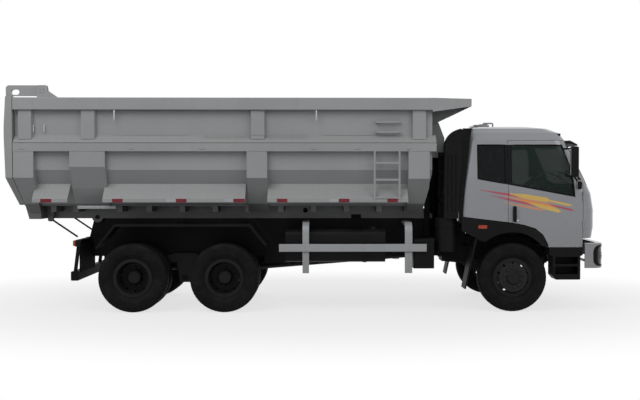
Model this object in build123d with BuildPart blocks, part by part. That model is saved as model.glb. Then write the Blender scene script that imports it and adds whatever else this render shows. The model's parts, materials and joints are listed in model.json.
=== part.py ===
"""Six-wheel rear tipper truck: ladder chassis, tilt cab and steel tipping bed.

Millimetres.  +X is forward, +Y is the truck's left, +Z is up.  The origin lies on the ground,
in the middle of the truck's length and width.
"""

import os
from math import asin, cos, degrees, radians, sin, sqrt

from build123d import *

os.makedirs("parts", exist_ok=True)

# ---------------------------------------------------------------- driving dimensions
# axles and wheels
REAR_AXLE_X = -1238.0        # first drive axle
WHEELBASE = 4309.0           # first drive axle to front axle
TANDEM_SPACING = 1360.0      # between the two drive axles
TYRE_RADIUS = 515.0
TYRE_WIDTH = 278.0
BEAD_RADIUS = 254.0
BEAD_WIDTH = 200.0
RIM_GAP = 0.3                # between the rim and the tyre bead
FLANGE_RADIUS = 290.0
FRONT_TRACK_HALF = 1061.0    # middle of the front tyre
TWIN_TRACK_HALF = 939.0      # middle of a twin pair
TWIN_SPACING = 314.0
KINGPIN_Y = 870.0
KINGPIN_RADIUS = 24.0
SPINDLE_RADIUS = 45.0
AXLE_TUBE_RADIUS = 75.0
SHAFT_CLEARANCE = 0.05       # radial, in a running bore
RUNNING_GAP = 6.0            # between pieces that move past each other
SEAT_GAP = 0.3               # between pieces that only touch

# ladder frame
RAIL_OUTER_Y = 430.0
RAIL_FLANGE = 80.0
RAIL_PLATE = 10.0
RAIL_TOP = 1080.0
RAIL_HEIGHT = 300.0
FRAME_REAR = -3480.0
FRAME_FRONT = 4300.0
SUBFRAME_TOP = 1370.0
SUBFRAME_FRONT = 1900.0

# tipping hinge and hoist
HINGE_X = -3295.0
HINGE_Z = 1395.0
HINGE_PIN_RADIUS = 32.0
HOIST_X = 2010.0
HOIST_BASE_Z = 960.0
HOIST_EYE_Z = 2450.0
HOIST_TUBE_RADIUS = 95.0
HOIST_STEP = 13.5            # each stage is this much smaller in radius
HOIST_WALL = 6.0
HOIST_STAGES = 3
HOIST_PIN_RADIUS = 30.0

# bed
BED_HALF_WIDTH = 1250.0
BED_REAR = -4335.0
BED_FRONT = 1863.0
WALL_OUTER_Y = 1150.0
WALL_THICKNESS = 40.0
WALL_BEND_Z = 2126.0
FLOOR_TOP = 1600.0
FLOOR_PLATE = 18.0
FLOOR_HALF_WIDTH = 905.0
BEAM_OUTER_Y = 470.0
BEAM_WIDTH = 100.0
BEAM_BOTTOM = 1375.0
TOP_RAIL_BOTTOM = 3008.0
TOP_RAIL_TOP = 3192.0
TOP_RAIL_WIDTH = 150.0
MID_RAIL_BOTTOM = 2400.0
MID_RAIL_GROOVE = 2516.0
MID_RAIL_TOP = 2640.0
GATE_HINGE_X = -3905.0
GATE_HINGE_Z = 3290.0

# cab
CAB_HALF_WIDTH = 1215.0
CAB_WALL = 45.0
CAB_GLASS_INSET = 14.0
CAB_GLASS = 6.0
DOOR_GAP = 6.0
CAB_PIVOT_X = 4300.0
CAB_PIVOT_Z = 1015.0

# ---------------------------------------------------------------- derived places
FRONT_AXLE_X = REAR_AXLE_X + WHEELBASE
REAR_AXLE_2_X = REAR_AXLE_X - TANDEM_SPACING
BOGIE_X = (REAR_AXLE_X + REAR_AXLE_2_X) / 2
AXLE_Z = TYRE_RADIUS
RAIL_BOTTOM = RAIL_TOP - RAIL_HEIGHT
RAIL_INNER_Y = RAIL_OUTER_Y - RAIL_FLANGE
SIDES = (("left", 1), ("right", -1))


def side_view(y):
    """Plane seen from the right-hand side: local x is X, local y is Z, normal is -Y."""
    return Plane.XZ.offset(-y)


def front_view(x):
    """Plane seen from the front end: local x is Y, local y is Z, normal is +X."""
    return Plane.YZ.offset(x)


def plan_view(z):
    """Plane seen from above: local x is X, local y is Y, normal is +Z."""
    return Plane.XY.offset(z)


def spin_plane(x, z=AXLE_Z):
    """Plane through a wheel's axle line: local x is the radius, local y is Y."""
    return Plane(origin=(x, 0, z), x_dir=(1, 0, 0), z_dir=(0, 0, 1))


def spin_axis(x, z=AXLE_Z):
    """A wheel's own axle line."""
    return Axis((x, 0, z), (0, 1, 0))

# ---------------------------------------------------------------- wheels
RIM_LIP = 10.0
BARREL_INNER = 241.0
DRUM_RADIUS = 205.0
HUB_RADIUS = 108.0
BOLT_CIRCLE = 167.5
BOLT_COUNT = 10
HAND_HOLE_RADIUS = 17.0
HAND_HOLE_CIRCLE = 218.0


def tyre_outline(middle):
    """Half section of a tyre whose middle lies at y = middle."""
    half = TYRE_WIDTH / 2
    bead = BEAD_WIDTH / 2 - RIM_LIP - RIM_GAP
    with BuildLine() as outline:
        for side in (1, -1):
            bead_toe = (BEAD_RADIUS, middle + side * bead)
            bead_top = (BEAD_RADIUS + 40, middle + side * bead)
            widest = (BEAD_RADIUS + 128, middle + side * half)
            shoulder = (TYRE_RADIUS - 18, middle + side * (half - 26))
            tread_edge = (TYRE_RADIUS, middle + side * (half - 68))
            Line((BEAD_RADIUS, middle), bead_toe)
            Line(bead_toe, bead_top)
            ThreePointArc(bead_top, (BEAD_RADIUS + 78, middle + side * (half - 13)), widest)
            ThreePointArc(widest, (TYRE_RADIUS - 58, middle + side * (half - 7)), shoulder)
            ThreePointArc(shoulder, (TYRE_RADIUS - 5.5, middle + side * (half - 44)), tread_edge)
            Line(tread_edge, (TYRE_RADIUS, middle))
    return outline.line


def tyres(x, middles):
    """Solid tyres on one wheel, one for each middle."""
    with BuildPart() as rubber:
        for middle in middles:
            with BuildSketch(spin_plane(x)):
                add(tyre_outline(middle))
                make_face()
            revolve(axis=spin_axis(x))
    return rubber


def rim_section(x, middle, face, out):
    """Rim barrel round one tyre, joined by a dished disc to the mounting face.

    middle is the tyre's middle, face is the mounting plane and out is +1 where the disc runs
    outwards from the barrel.
    """
    half = BEAD_WIDTH / 2
    with BuildSketch(spin_plane(x)) as section:
        with BuildLine():
            Polyline(
                (BARREL_INNER, middle - half),
                (FLANGE_RADIUS, middle - half),
                (FLANGE_RADIUS, middle - half + RIM_LIP - RIM_GAP),
                (BEAD_RADIUS - RIM_GAP, middle - half + RIM_LIP),
                (BEAD_RADIUS - RIM_GAP, middle + half - RIM_LIP),
                (FLANGE_RADIUS, middle + half - RIM_LIP + RIM_GAP),
                (FLANGE_RADIUS, middle + half),
                (BARREL_INNER, middle + half),
                close=True,
            )
        make_face()
    revolve(section.sketch, axis=spin_axis(x))
    root = middle + out * (half - 45)
    with BuildSketch(spin_plane(x)) as section:
        with BuildLine():
            Polyline(
                (BARREL_INNER + 4, root),
                (BARREL_INNER - 30, face - out * 14),
                (HUB_RADIUS - 20, face - out * 14),
                (HUB_RADIUS - 20, face),
                (BARREL_INNER - 36, face),
                (BARREL_INNER + 4, root + out * 26),
                close=True,
            )
        make_face()
    revolve(section.sketch, axis=spin_axis(x))


def hub(x, y_in, y_out, drum_width, bore, cap):
    """Hub with its bore, brake drum at its inner end and end cap, on the left-hand side."""
    with BuildSketch(spin_plane(x)) as section:
        with BuildLine():
            Polyline(
                (bore, y_in),
                (DRUM_RADIUS, y_in),
                (DRUM_RADIUS, y_in + drum_width),
                (HUB_RADIUS, y_in + drum_width + 12),
                (HUB_RADIUS, y_out - 30),
                (HUB_RADIUS - 22, y_out),
                (0, y_out),
                (0, y_out - cap),
                (bore, y_out - cap),
                close=True,
            )
        make_face()
    revolve(section.sketch, axis=spin_axis(x))


def bolts(x, y, height):
    """Ring of wheel studs on the mounting face."""
    face = Plane(origin=(x, y, AXLE_Z), x_dir=(1, 0, 0), z_dir=(0, 1, 0))
    with BuildSketch(face) as ring:
        with PolarLocations(BOLT_CIRCLE, BOLT_COUNT):
            RegularPolygon(15, 6)
    extrude(ring.sketch, amount=height)


def hand_holes(x, y_from, y_to):
    """Round holes through the disc, near the barrel."""
    face = Plane(origin=(x, y_from, AXLE_Z), x_dir=(1, 0, 0), z_dir=(0, 1, 0))
    with BuildSketch(face) as ring:
        with PolarLocations(HAND_HOLE_CIRCLE, BOLT_COUNT, start_angle=18):
            Circle(HAND_HOLE_RADIUS)
    extrude(ring.sketch, amount=y_to - y_from, mode=Mode.SUBTRACT)


FRONT_FACE_Y = FRONT_TRACK_HALF + TWIN_SPACING / 2
DISC_THICKNESS = 14.0
DRUM_INNER_Y = KINGPIN_Y + 75
FRONT_HUB_END = FRONT_FACE_Y + 28

with BuildPart() as front_rim:
    rim_section(FRONT_AXLE_X, FRONT_TRACK_HALF, FRONT_FACE_Y, 1)
    hub(FRONT_AXLE_X, DRUM_INNER_Y, FRONT_HUB_END, 150, SPINDLE_RADIUS + SHAFT_CLEARANCE, 20)
    bolts(FRONT_AXLE_X, FRONT_FACE_Y, 12)
    hand_holes(FRONT_AXLE_X, FRONT_TRACK_HALF + 20, FRONT_FACE_Y + 10)

front_tyre = tyres(FRONT_AXLE_X, [FRONT_TRACK_HALF])

REAR_HUB_IN = TWIN_TRACK_HALF - 268
REAR_HUB_OUT = TWIN_TRACK_HALF + 150

rear_rims = {}
rear_tyres = {}
for axle, axle_x in (("front", REAR_AXLE_X), ("rear", REAR_AXLE_2_X)):
    with BuildPart() as twin_rim:
        rim_section(axle_x, TWIN_TRACK_HALF + TWIN_SPACING / 2, TWIN_TRACK_HALF + DISC_THICKNESS, -1)
        rim_section(axle_x, TWIN_TRACK_HALF - TWIN_SPACING / 2, TWIN_TRACK_HALF, 1)
        hub(axle_x, REAR_HUB_IN, REAR_HUB_OUT, 236, SPINDLE_RADIUS + SHAFT_CLEARANCE, 20)
        bolts(axle_x, TWIN_TRACK_HALF + DISC_THICKNESS, 24)
        hand_holes(axle_x, TWIN_TRACK_HALF - 120, TWIN_TRACK_HALF + 120)
    rear_rims[axle] = twin_rim
    rear_tyres[axle] = tyres(axle_x, [TWIN_TRACK_HALF - TWIN_SPACING / 2,
                                      TWIN_TRACK_HALF + TWIN_SPACING / 2])

wheel_sets = [("front", front_rim, front_tyre)]
wheel_sets += [(f"rear_{axle}", rear_rims[axle], rear_tyres[axle]) for axle in rear_rims]
for name, rim, rubber in wheel_sets:
    for side, sign in SIDES:
        for kind, piece in (("rim", rim), ("tyres" if "rear" in name else "tyre", rubber)):
            with BuildPart() as placed:
                add(piece.part if sign > 0 else piece.part.mirror(Plane.XZ))
            placed.part.label = f"{name}_{kind}_{side}"
            export_step(placed.part, f"parts/{name}_{kind}_{side}.step")

# ---------------------------------------------------------------- knuckles and front axle
EYE_RADIUS = 44.0
EYE_HALF = 62.0
LUG_THICKNESS = 34.0
KNUCKLE_GAP = 2.0
BACK_PLATE_RADIUS = 190.0

with BuildPart() as knuckle_left:
    for z in (AXLE_Z + EYE_HALF + KNUCKLE_GAP, AXLE_Z - EYE_HALF - KNUCKLE_GAP - LUG_THICKNESS):
        with BuildSketch(plan_view(z)):
            with Locations((FRONT_AXLE_X, KINGPIN_Y)):
                Circle(EYE_RADIUS)
            with Locations((FRONT_AXLE_X, KINGPIN_Y + 30)):
                Rectangle(2 * EYE_RADIUS, 64)
        extrude(amount=LUG_THICKNESS)
    with BuildSketch(plan_view(AXLE_Z - EYE_HALF - KNUCKLE_GAP - LUG_THICKNESS)):
        with Locations((FRONT_AXLE_X, KINGPIN_Y)):
            Circle(KINGPIN_RADIUS)
    extrude(amount=2 * (EYE_HALF + KNUCKLE_GAP + LUG_THICKNESS))
    with BuildSketch(Plane(origin=(FRONT_AXLE_X, KINGPIN_Y + 52, AXLE_Z), x_dir=(1, 0, 0),
                           z_dir=(0, 1, 0))):
        Circle(BACK_PLATE_RADIUS)
    extrude(amount=14)
    with BuildSketch(Plane(origin=(FRONT_AXLE_X, KINGPIN_Y + 60, AXLE_Z), x_dir=(1, 0, 0),
                           z_dir=(0, 1, 0))):
        Circle(SPINDLE_RADIUS)
    extrude(amount=FRONT_HUB_END - 30 - KINGPIN_Y - 60)

for side, sign in SIDES:
    with BuildPart() as knuckle:
        add(knuckle_left.part if sign > 0 else knuckle_left.part.mirror(Plane.XZ))
    knuckle.part.label = f"knuckle_{side}"
    export_step(knuckle.part, f"parts/knuckle_{side}.step")

BEAM_DROP = 105.0
BEAM_DEPTH = 95.0
BEAM_THICK = 90.0
SPRING_Y_FRONT = 390.0
SPRING_WIDTH_FRONT = 80.0
SPRING_SEAT_FRONT = AXLE_Z - 40

with BuildPart() as front_axle:
    with BuildSketch(front_view(FRONT_AXLE_X - BEAM_THICK / 2)):
        with BuildLine():
            Polyline(
                (0, AXLE_Z - BEAM_DROP - BEAM_DEPTH / 2),
                (540, AXLE_Z - BEAM_DROP - BEAM_DEPTH / 2),
                (760, AXLE_Z - 60),
                (KINGPIN_Y, AXLE_Z - 55),
                (KINGPIN_Y, AXLE_Z + 55),
                (720, AXLE_Z + 50),
                (500, AXLE_Z - BEAM_DROP + BEAM_DEPTH / 2),
                (0, AXLE_Z - BEAM_DROP + BEAM_DEPTH / 2),
                close=True,
            )
        make_face()
        mirror(about=Plane.YZ)
    extrude(amount=BEAM_THICK)
    for x, direction in ((FRONT_AXLE_X + BEAM_THICK / 2, -1), (FRONT_AXLE_X - BEAM_THICK / 2, 1)):
        with BuildSketch(front_view(x)):
            with Locations((0, AXLE_Z - BEAM_DROP)):
                Rectangle(2 * 480, BEAM_DEPTH - 36)
        extrude(amount=direction * 30, mode=Mode.SUBTRACT)
    for sign in (1, -1):
        with BuildSketch(plan_view(AXLE_Z - EYE_HALF)):
            with Locations((FRONT_AXLE_X, sign * KINGPIN_Y)):
                Circle(EYE_RADIUS)
        extrude(amount=2 * EYE_HALF)
        with BuildSketch(plan_view(AXLE_Z - EYE_HALF - 30)):
            with Locations((FRONT_AXLE_X, sign * KINGPIN_Y)):
                Circle(KINGPIN_RADIUS + SHAFT_CLEARANCE)
        extrude(amount=2 * EYE_HALF + 60, mode=Mode.SUBTRACT)
        with BuildSketch(plan_view(AXLE_Z - BEAM_DROP + BEAM_DEPTH / 2 - 5)):
            with Locations((FRONT_AXLE_X, sign * SPRING_Y_FRONT)):
                Rectangle(190, SPRING_WIDTH_FRONT + 20)
        extrude(amount=SPRING_SEAT_FRONT - (AXLE_Z - BEAM_DROP + BEAM_DEPTH / 2 - 5))

# ---------------------------------------------------------------- ladder frame
CAB_ARM_Y = 322.0
CAB_ARM_HALF = 22.0
CAB_PIN_RADIUS = 22.0
CAB_REST_X = 2420.0
FLOOR_THICKNESS = 40.0
FLOOR_HIGH = 1395.0
FLOOR_LOW = 1150.0
REAR_BEAM_HALF = 1060.0
REAR_BEAM_BOTTOM = 975.0
TOW_SPACING_Y = 160.0        # bolt holes for a tow jaw
TOW_SPACING_Z = 56.0
TOW_HOLE_RADIUS = 8.5
CROSS_MEMBERS = (-3050.0, -1918.0, -700.0, 500.0, 1500.0, 4130.0)
FRONT_SPRING_HALF = 800.0
FRONT_SPRING_SAG = 175.0
FRONT_LEAF = 13.0
FRONT_LEAF_COUNT = 7
FRONT_SPRING_EYE_Z = SPRING_SEAT_FRONT + FRONT_LEAF * FRONT_LEAF_COUNT + FRONT_SPRING_SAG
LEAF_TIP_DROP = 2.4          # the curved leaf tips lie this far under their chord
TRUNNION_Z = 455.0
TRUNNION_RADIUS = 45.0
SPRING_Y_REAR = 490.0
SPRING_WIDTH_REAR = 90.0

with BuildPart() as chassis_frame:
    # two channel rails, webs outside
    with BuildSketch(front_view(FRAME_REAR)):
        for sign in (1, -1):
            with Locations((sign * (RAIL_OUTER_Y - RAIL_PLATE / 2), RAIL_TOP - RAIL_HEIGHT / 2)):
                Rectangle(RAIL_PLATE, RAIL_HEIGHT)
            for z in (RAIL_TOP - RAIL_PLATE / 2, RAIL_BOTTOM + RAIL_PLATE / 2):
                with Locations((sign * (RAIL_OUTER_Y - RAIL_FLANGE / 2), z)):
                    Rectangle(RAIL_FLANGE, RAIL_PLATE)
    extrude(amount=FRAME_FRONT - FRAME_REAR)
    # cross-members between the webs, each with a lightening hole
    for x in CROSS_MEMBERS:
        with BuildSketch(front_view(x - 40)):
            with Locations((0, RAIL_TOP - 100)):
                Rectangle(2 * (RAIL_OUTER_Y - RAIL_PLATE), 120)
                RectangleRounded(360, 60, 25, mode=Mode.SUBTRACT)
        extrude(amount=80)
    # rear cross-beam that carries the lamps
    with BuildSketch(front_view(FRAME_REAR)):
        with Locations((0, REAR_BEAM_BOTTOM + 50)):
            Rectangle(2 * REAR_BEAM_HALF, 100)
            with GridLocations(TOW_SPACING_Y, TOW_SPACING_Z, 2, 2):
                Circle(TOW_HOLE_RADIUS, mode=Mode.SUBTRACT)
    extrude(amount=80)
    # hangers for the front springs
    for sign in (1, -1):
        for x in (FRONT_AXLE_X - FRONT_SPRING_HALF, FRONT_AXLE_X + FRONT_SPRING_HALF):
            with BuildSketch(side_view(sign * SPRING_Y_FRONT)):
                with BuildLine():
                    Polyline(
                        (x - 90, RAIL_BOTTOM),
                        (x - 45, FRONT_SPRING_EYE_Z - LEAF_TIP_DROP),
                        (x + 45, FRONT_SPRING_EYE_Z - LEAF_TIP_DROP),
                        (x + 90, RAIL_BOTTOM),
                        close=True,
                    )
                make_face()
            extrude(amount=SPRING_WIDTH_FRONT / 2, both=True)
        # trunnion bracket under the rail
        with BuildSketch(side_view(sign * (RAIL_OUTER_Y - RAIL_FLANGE / 2))):
            with BuildLine():
                Polyline(
                    (BOGIE_X - 260, RAIL_BOTTOM),
                    (BOGIE_X - 75, TRUNNION_Z - 20),
                    (BOGIE_X + 75, TRUNNION_Z - 20),
                    (BOGIE_X + 260, RAIL_BOTTOM),
                    close=True,
                )
            make_face()
        extrude(amount=RAIL_FLANGE / 2 - 2, both=True)
    # trunnion shaft from side to side
    with BuildSketch(side_view(SPRING_Y_REAR + SPRING_WIDTH_REAR / 2 + 10)):
        with Locations((BOGIE_X, TRUNNION_Z)):
            Circle(TRUNNION_RADIUS)
    extrude(amount=2 * SPRING_Y_REAR + SPRING_WIDTH_REAR + 20)
    # brackets and pins that carry the hoist cylinder
    for sign in (1, -1):
        with BuildSketch(side_view(sign * (RAIL_OUTER_Y - RAIL_PLATE))):
            with BuildLine():
                Polyline(
                    (HOIST_X - 110, RAIL_BOTTOM + 5),
                    (HOIST_X + 110, RAIL_BOTTOM + 5),
                    (HOIST_X + 60, HOIST_BASE_Z + 60),
                    (HOIST_X - 60, HOIST_BASE_Z + 60),
                    close=True,
                )
            make_face()
            with Locations((HOIST_X, HOIST_BASE_Z)):
                Circle(HOIST_PIN_RADIUS + SHAFT_CLEARANCE, mode=Mode.SUBTRACT)
        extrude(amount=sign * 110)
    # towing jaw and cab hinge lugs at the front end
    for sign in (1, -1):
        with BuildSketch(side_view(sign * (RAIL_OUTER_Y - RAIL_FLANGE / 2))):
            with BuildLine():
                Polyline(
                    (CAB_PIVOT_X - 170, RAIL_TOP - 115),
                    (CAB_PIVOT_X - 20, RAIL_TOP - 115),
                    (CAB_PIVOT_X + 40, CAB_PIVOT_Z - 12),
                    (CAB_PIVOT_X + 30, CAB_PIVOT_Z + 34),
                    (CAB_PIVOT_X - 60, RAIL_TOP - 4),
                    (CAB_PIVOT_X - 170, RAIL_TOP - 4),
                    close=True,
                )
            make_face()
        extrude(amount=RAIL_FLANGE / 2 - 2, both=True)
        # hinge pin that the cab's arm turns on
        with BuildSketch(side_view(sign * (RAIL_INNER_Y + 10))):
            with Locations((CAB_PIVOT_X, CAB_PIVOT_Z)):
                Circle(CAB_PIN_RADIUS)
        extrude(amount=sign * (RAIL_INNER_Y + 10 - CAB_ARM_Y + CAB_ARM_HALF))
        # rear cab rest
        with BuildSketch(plan_view(RAIL_TOP)):
            with Locations((CAB_REST_X, sign * (RAIL_OUTER_Y - RAIL_FLANGE / 2))):
                Rectangle(90, RAIL_FLANGE)
        extrude(amount=FLOOR_HIGH - FLOOR_THICKNESS - SEAT_GAP - RAIL_TOP)
chassis_frame.part.label = "chassis_frame"
export_step(chassis_frame.part, "parts/chassis_frame.step")

# ---------------------------------------------------------------- tipper sub-frame
HINGE_BOSS_RADIUS = 70.0
HINGE_BRACKET_INNER = 285.0
HINGE_BRACKET_OUTER = BEAM_OUTER_Y - BEAM_WIDTH - 10
SUBFRAME_REAR = HINGE_X + 110
SUBFRAME_CROSS = (-2900.0, -2300.0, -1500.0, -500.0, 500.0, 1400.0)

with BuildPart() as subframe:
    for sign in (1, -1):
        with BuildSketch(front_view(SUBFRAME_REAR)):
            with Locations((sign * (RAIL_OUTER_Y - 40), (RAIL_TOP + SUBFRAME_TOP) / 2)):
                Rectangle(80, SUBFRAME_TOP - RAIL_TOP)
        extrude(amount=SUBFRAME_FRONT - SUBFRAME_REAR)
        middle = (HINGE_BRACKET_INNER + HINGE_BRACKET_OUTER) / 2
        with BuildSketch(side_view(sign * middle)):
            with BuildLine():
                start = (HINGE_X - HINGE_BOSS_RADIUS, HINGE_Z)
                top = (HINGE_X, HINGE_Z + HINGE_BOSS_RADIUS)
                end = (HINGE_X + HINGE_BOSS_RADIUS, HINGE_Z)
                Polyline(end, (HINGE_X + 260, RAIL_TOP), (HINGE_X - 150, RAIL_TOP), start)
                ThreePointArc(start, top, end)
            make_face()
        extrude(amount=(HINGE_BRACKET_OUTER - HINGE_BRACKET_INNER) / 2, both=True)
        # hinge pin, fixed in the bracket
        with BuildSketch(side_view(sign * HINGE_BRACKET_OUTER)):
            with Locations((HINGE_X, HINGE_Z)):
                Circle(HINGE_PIN_RADIUS)
        extrude(amount=-sign * (BEAM_OUTER_Y + 20 - HINGE_BRACKET_OUTER))
    for x in SUBFRAME_CROSS:
        with BuildSketch(front_view(x)):
            with Locations((0, (RAIL_TOP + SUBFRAME_TOP) / 2)):
                Rectangle(2 * (RAIL_OUTER_Y - 80), 160)
        extrude(amount=90)
    # tie between the two hinge brackets
    with BuildSketch(side_view(-HINGE_BRACKET_INNER)):
        with Locations((HINGE_X + 60, RAIL_TOP + 130)):
            Circle(45)
    extrude(amount=-2 * HINGE_BRACKET_INNER)
subframe.part.label = "subframe"
export_step(subframe.part, "parts/subframe.step")

# ---------------------------------------------------------------- drive axles
BANJO_RADIUS = 215.0
BACKING_PLATE_Y = REAR_HUB_IN - RUNNING_GAP
REAR_SEAT_Z = AXLE_Z + 125

with BuildPart() as rear_axles:
    for x in (REAR_AXLE_X, REAR_AXLE_2_X):
        with BuildSketch(spin_plane(x)):
            with BuildLine():
                Polyline(
                    (0, -REAR_HUB_OUT + 30),
                    (SPINDLE_RADIUS, -REAR_HUB_OUT + 30),
                    (SPINDLE_RADIUS, -BACKING_PLATE_Y),
                    (AXLE_TUBE_RADIUS, -BACKING_PLATE_Y),
                    (AXLE_TUBE_RADIUS, -300),
                    (150, -180),
                    (150, 180),
                    (AXLE_TUBE_RADIUS, 300),
                    (AXLE_TUBE_RADIUS, BACKING_PLATE_Y),
                    (SPINDLE_RADIUS, BACKING_PLATE_Y),
                    (SPINDLE_RADIUS, REAR_HUB_OUT - 30),
                    (0, REAR_HUB_OUT - 30),
                    close=True,
                )
            make_face()
        revolve(axis=spin_axis(x))
        with BuildSketch(front_view(x - 120)):
            with Locations((0, AXLE_Z)):
                Circle(BANJO_RADIUS)
        extrude(amount=250, taper=12)
        with BuildSketch(front_view(x + 100)):
            with Locations((0, AXLE_Z + 45)):
                Circle(105)
        extrude(amount=210, taper=6)
        for sign in (1, -1):
            with BuildSketch(side_view(sign * BACKING_PLATE_Y)):
                with Locations((x, AXLE_Z)):
                    Circle(BACK_PLATE_RADIUS)
            extrude(amount=sign * 14)
            with BuildSketch(plan_view(AXLE_Z)):
                with Locations((x, sign * SPRING_Y_REAR)):
                    Rectangle(150, SPRING_WIDTH_REAR + 20)
            extrude(amount=REAR_SEAT_Z - AXLE_Z)

with BuildPart() as axles:
    add(front_axle.part)
    add(rear_axles.part)
axles.part.label = "axles"
export_step(axles.part, "parts/axles.step")


# ---------------------------------------------------------------- leaf springs
def leaf_pack(x, z, bend_radius, leaf, half_lengths, upwards, y, width):
    """Leaves stacked on one bend: half_lengths runs from the longest leaf to the shortest.

    z is the middle of the longest leaf's outer face; upwards is True where the ends curve up and
    the shorter leaves lie below.
    """
    turn = 1 if upwards else -1
    centre = z + turn * bend_radius
    with BuildSketch(side_view(y)) as pack:
        for i, half in enumerate(half_lengths):
            inner = bend_radius + i * leaf
            outer = inner + leaf
            angle = asin(half / outer)
            with BuildLine():
                ends = []
                for radius in (inner, outer):
                    left = (x - radius * sin(angle), centre - turn * radius * cos(angle))
                    right = (x + radius * sin(angle), centre - turn * radius * cos(angle))
                    ThreePointArc(left, (x, centre - turn * radius), right)
                    ends.append((left, right))
                Line(ends[0][0], ends[1][0])
                Line(ends[0][1], ends[1][1])
            make_face()
    extrude(pack.sketch, amount=width / 2, both=True)


FRONT_LEAVES = tuple(FRONT_SPRING_HALF - 95.0 * i for i in range(FRONT_LEAF_COUNT))
REAR_LEAF = 17.0
REAR_SPRING_HALF = TANDEM_SPACING / 2 + 70
REAR_LEAVES = tuple(REAR_SPRING_HALF - 80.0 * i for i in range(8))
REAR_SPRING_CAMBER = 55.0


def bend_radius(half, rise):
    """Radius of the arc that rises by rise over half its chord."""
    return (half**2 + rise**2) / (2 * rise)


with BuildPart() as front_springs:
    for sign in (1, -1):
        leaf_pack(FRONT_AXLE_X, SPRING_SEAT_FRONT + FRONT_LEAF * FRONT_LEAF_COUNT,
                  bend_radius(FRONT_SPRING_HALF, FRONT_SPRING_SAG), FRONT_LEAF, FRONT_LEAVES, True,
                  sign * SPRING_Y_FRONT, SPRING_WIDTH_FRONT)

with BuildPart() as rear_springs:
    for sign in (1, -1):
        leaf_pack(BOGIE_X, REAR_SEAT_Z + SEAT_GAP + REAR_SPRING_CAMBER,
                  bend_radius(REAR_SPRING_HALF, REAR_SPRING_CAMBER), REAR_LEAF, REAR_LEAVES, False,
                  sign * SPRING_Y_REAR, SPRING_WIDTH_REAR)
        # saddle that clamps the pack and swings on the trunnion shaft
        with BuildSketch(side_view(sign * SPRING_Y_REAR)):
            with BuildLine():
                Polyline(
                    (BOGIE_X - 80, TRUNNION_Z - 75),
                    (BOGIE_X + 80, TRUNNION_Z - 75),
                    (BOGIE_X + 130, REAR_SEAT_Z + REAR_SPRING_CAMBER + 8),
                    (BOGIE_X - 130, REAR_SEAT_Z + REAR_SPRING_CAMBER + 8),
                    close=True,
                )
            make_face()
            with Locations((BOGIE_X, TRUNNION_Z)):
                Circle(TRUNNION_RADIUS + SHAFT_CLEARANCE, mode=Mode.SUBTRACT)
        extrude(amount=SPRING_WIDTH_REAR / 2, both=True)

with BuildPart() as leaf_springs:
    add(front_springs.part)
    add(rear_springs.part)
leaf_springs.part.label = "leaf_springs"
export_step(leaf_springs.part, "parts/leaf_springs.step")

# ---------------------------------------------------------------- engine, gearbox and shafts
SHAFT_RADIUS = 42.0
FLANGE_RADIUS_SHAFT = 75.0
GEARBOX_REAR = 2140.0
GEARBOX_Z = 800.0


def propeller_shaft(start, end):
    """Tubular shaft between two upright faces, with a joint flange at each end."""
    whole = Vector(*end) - Vector(*start)
    trim = FLANGE_RADIUS_SHAFT * abs(whole.Z / whole.X) + SEAT_GAP
    begin = Vector(*start) + whole.normalized() * trim
    run = whole - whole.normalized() * (2 * trim)
    line = Plane(origin=begin, z_dir=run)
    with BuildSketch(line) as tube:
        Circle(SHAFT_RADIUS)
    extrude(tube.sketch, amount=run.length)
    for offset in (0, run.length - 40):
        with BuildSketch(line.offset(offset)) as flange:
            Circle(FLANGE_RADIUS_SHAFT)
        extrude(flange.sketch, amount=40)


with BuildPart() as engine_block:
    with BuildSketch(plan_view(740)):
        with Locations((3250, 0)):
            RectangleRounded(1150, 560, 40)
    extrude(amount=540)
    with BuildSketch(plan_view(610)):
        with Locations((3400, 0)):
            RectangleRounded(560, 360, 30)
    extrude(amount=140)
    with BuildSketch(side_view(0)):
        with BuildLine():
            Polyline((2680, 620), (2680, 1060), (2480, 1010), (GEARBOX_REAR, 930), (GEARBOX_REAR, 670),
                     (2480, 640), close=True)
        make_face()
    extrude(amount=190, both=True)

PINION_FACE = 310.0
BANJO_BACK = 152.0
with BuildPart() as propeller_shafts:
    propeller_shaft((GEARBOX_REAR, 0, GEARBOX_Z), (REAR_AXLE_X + PINION_FACE, 0, AXLE_Z + 45))
    propeller_shaft((REAR_AXLE_X - BANJO_BACK, 0, AXLE_Z + 45),
                    (REAR_AXLE_2_X + PINION_FACE, 0, AXLE_Z + 45))

RADIATOR_X = 3960.0
with BuildPart() as radiator:
    with BuildSketch(plan_view(660)):
        with Locations((RADIATOR_X, 0)):
            RectangleRounded(90, 2 * (RAIL_INNER_Y - SEAT_GAP), 12)
    extrude(amount=420)
    with BuildSketch(front_view(RADIATOR_X + 45)):
        with Locations((0, 860)):
            RectangleRounded(600, 340, 20)
    extrude(amount=-18, mode=Mode.SUBTRACT)
    with BuildSketch(front_view(RADIATOR_X - 45)):
        with Locations((0, 860)):
            Circle(215)
            Circle(195, mode=Mode.SUBTRACT)
    extrude(amount=-60)

with BuildPart() as engine:
    add(engine_block.part)
    add(propeller_shafts.part)
    add(radiator.part)
engine.part.label = "engine"
export_step(engine.part, "parts/engine.step")

# ---------------------------------------------------------------- tanks and battery box
TANK_REAR = -330.0
TANK_LENGTH = 1500.0
TANK_INNER_Y = 560.0
TANK_OUTER_Y = 1105.0
TANK_BOTTOM = 740.0
TANK_TOP = 1230.0
TANK_CORNER = 90.0
STRAP = 8.0

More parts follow.
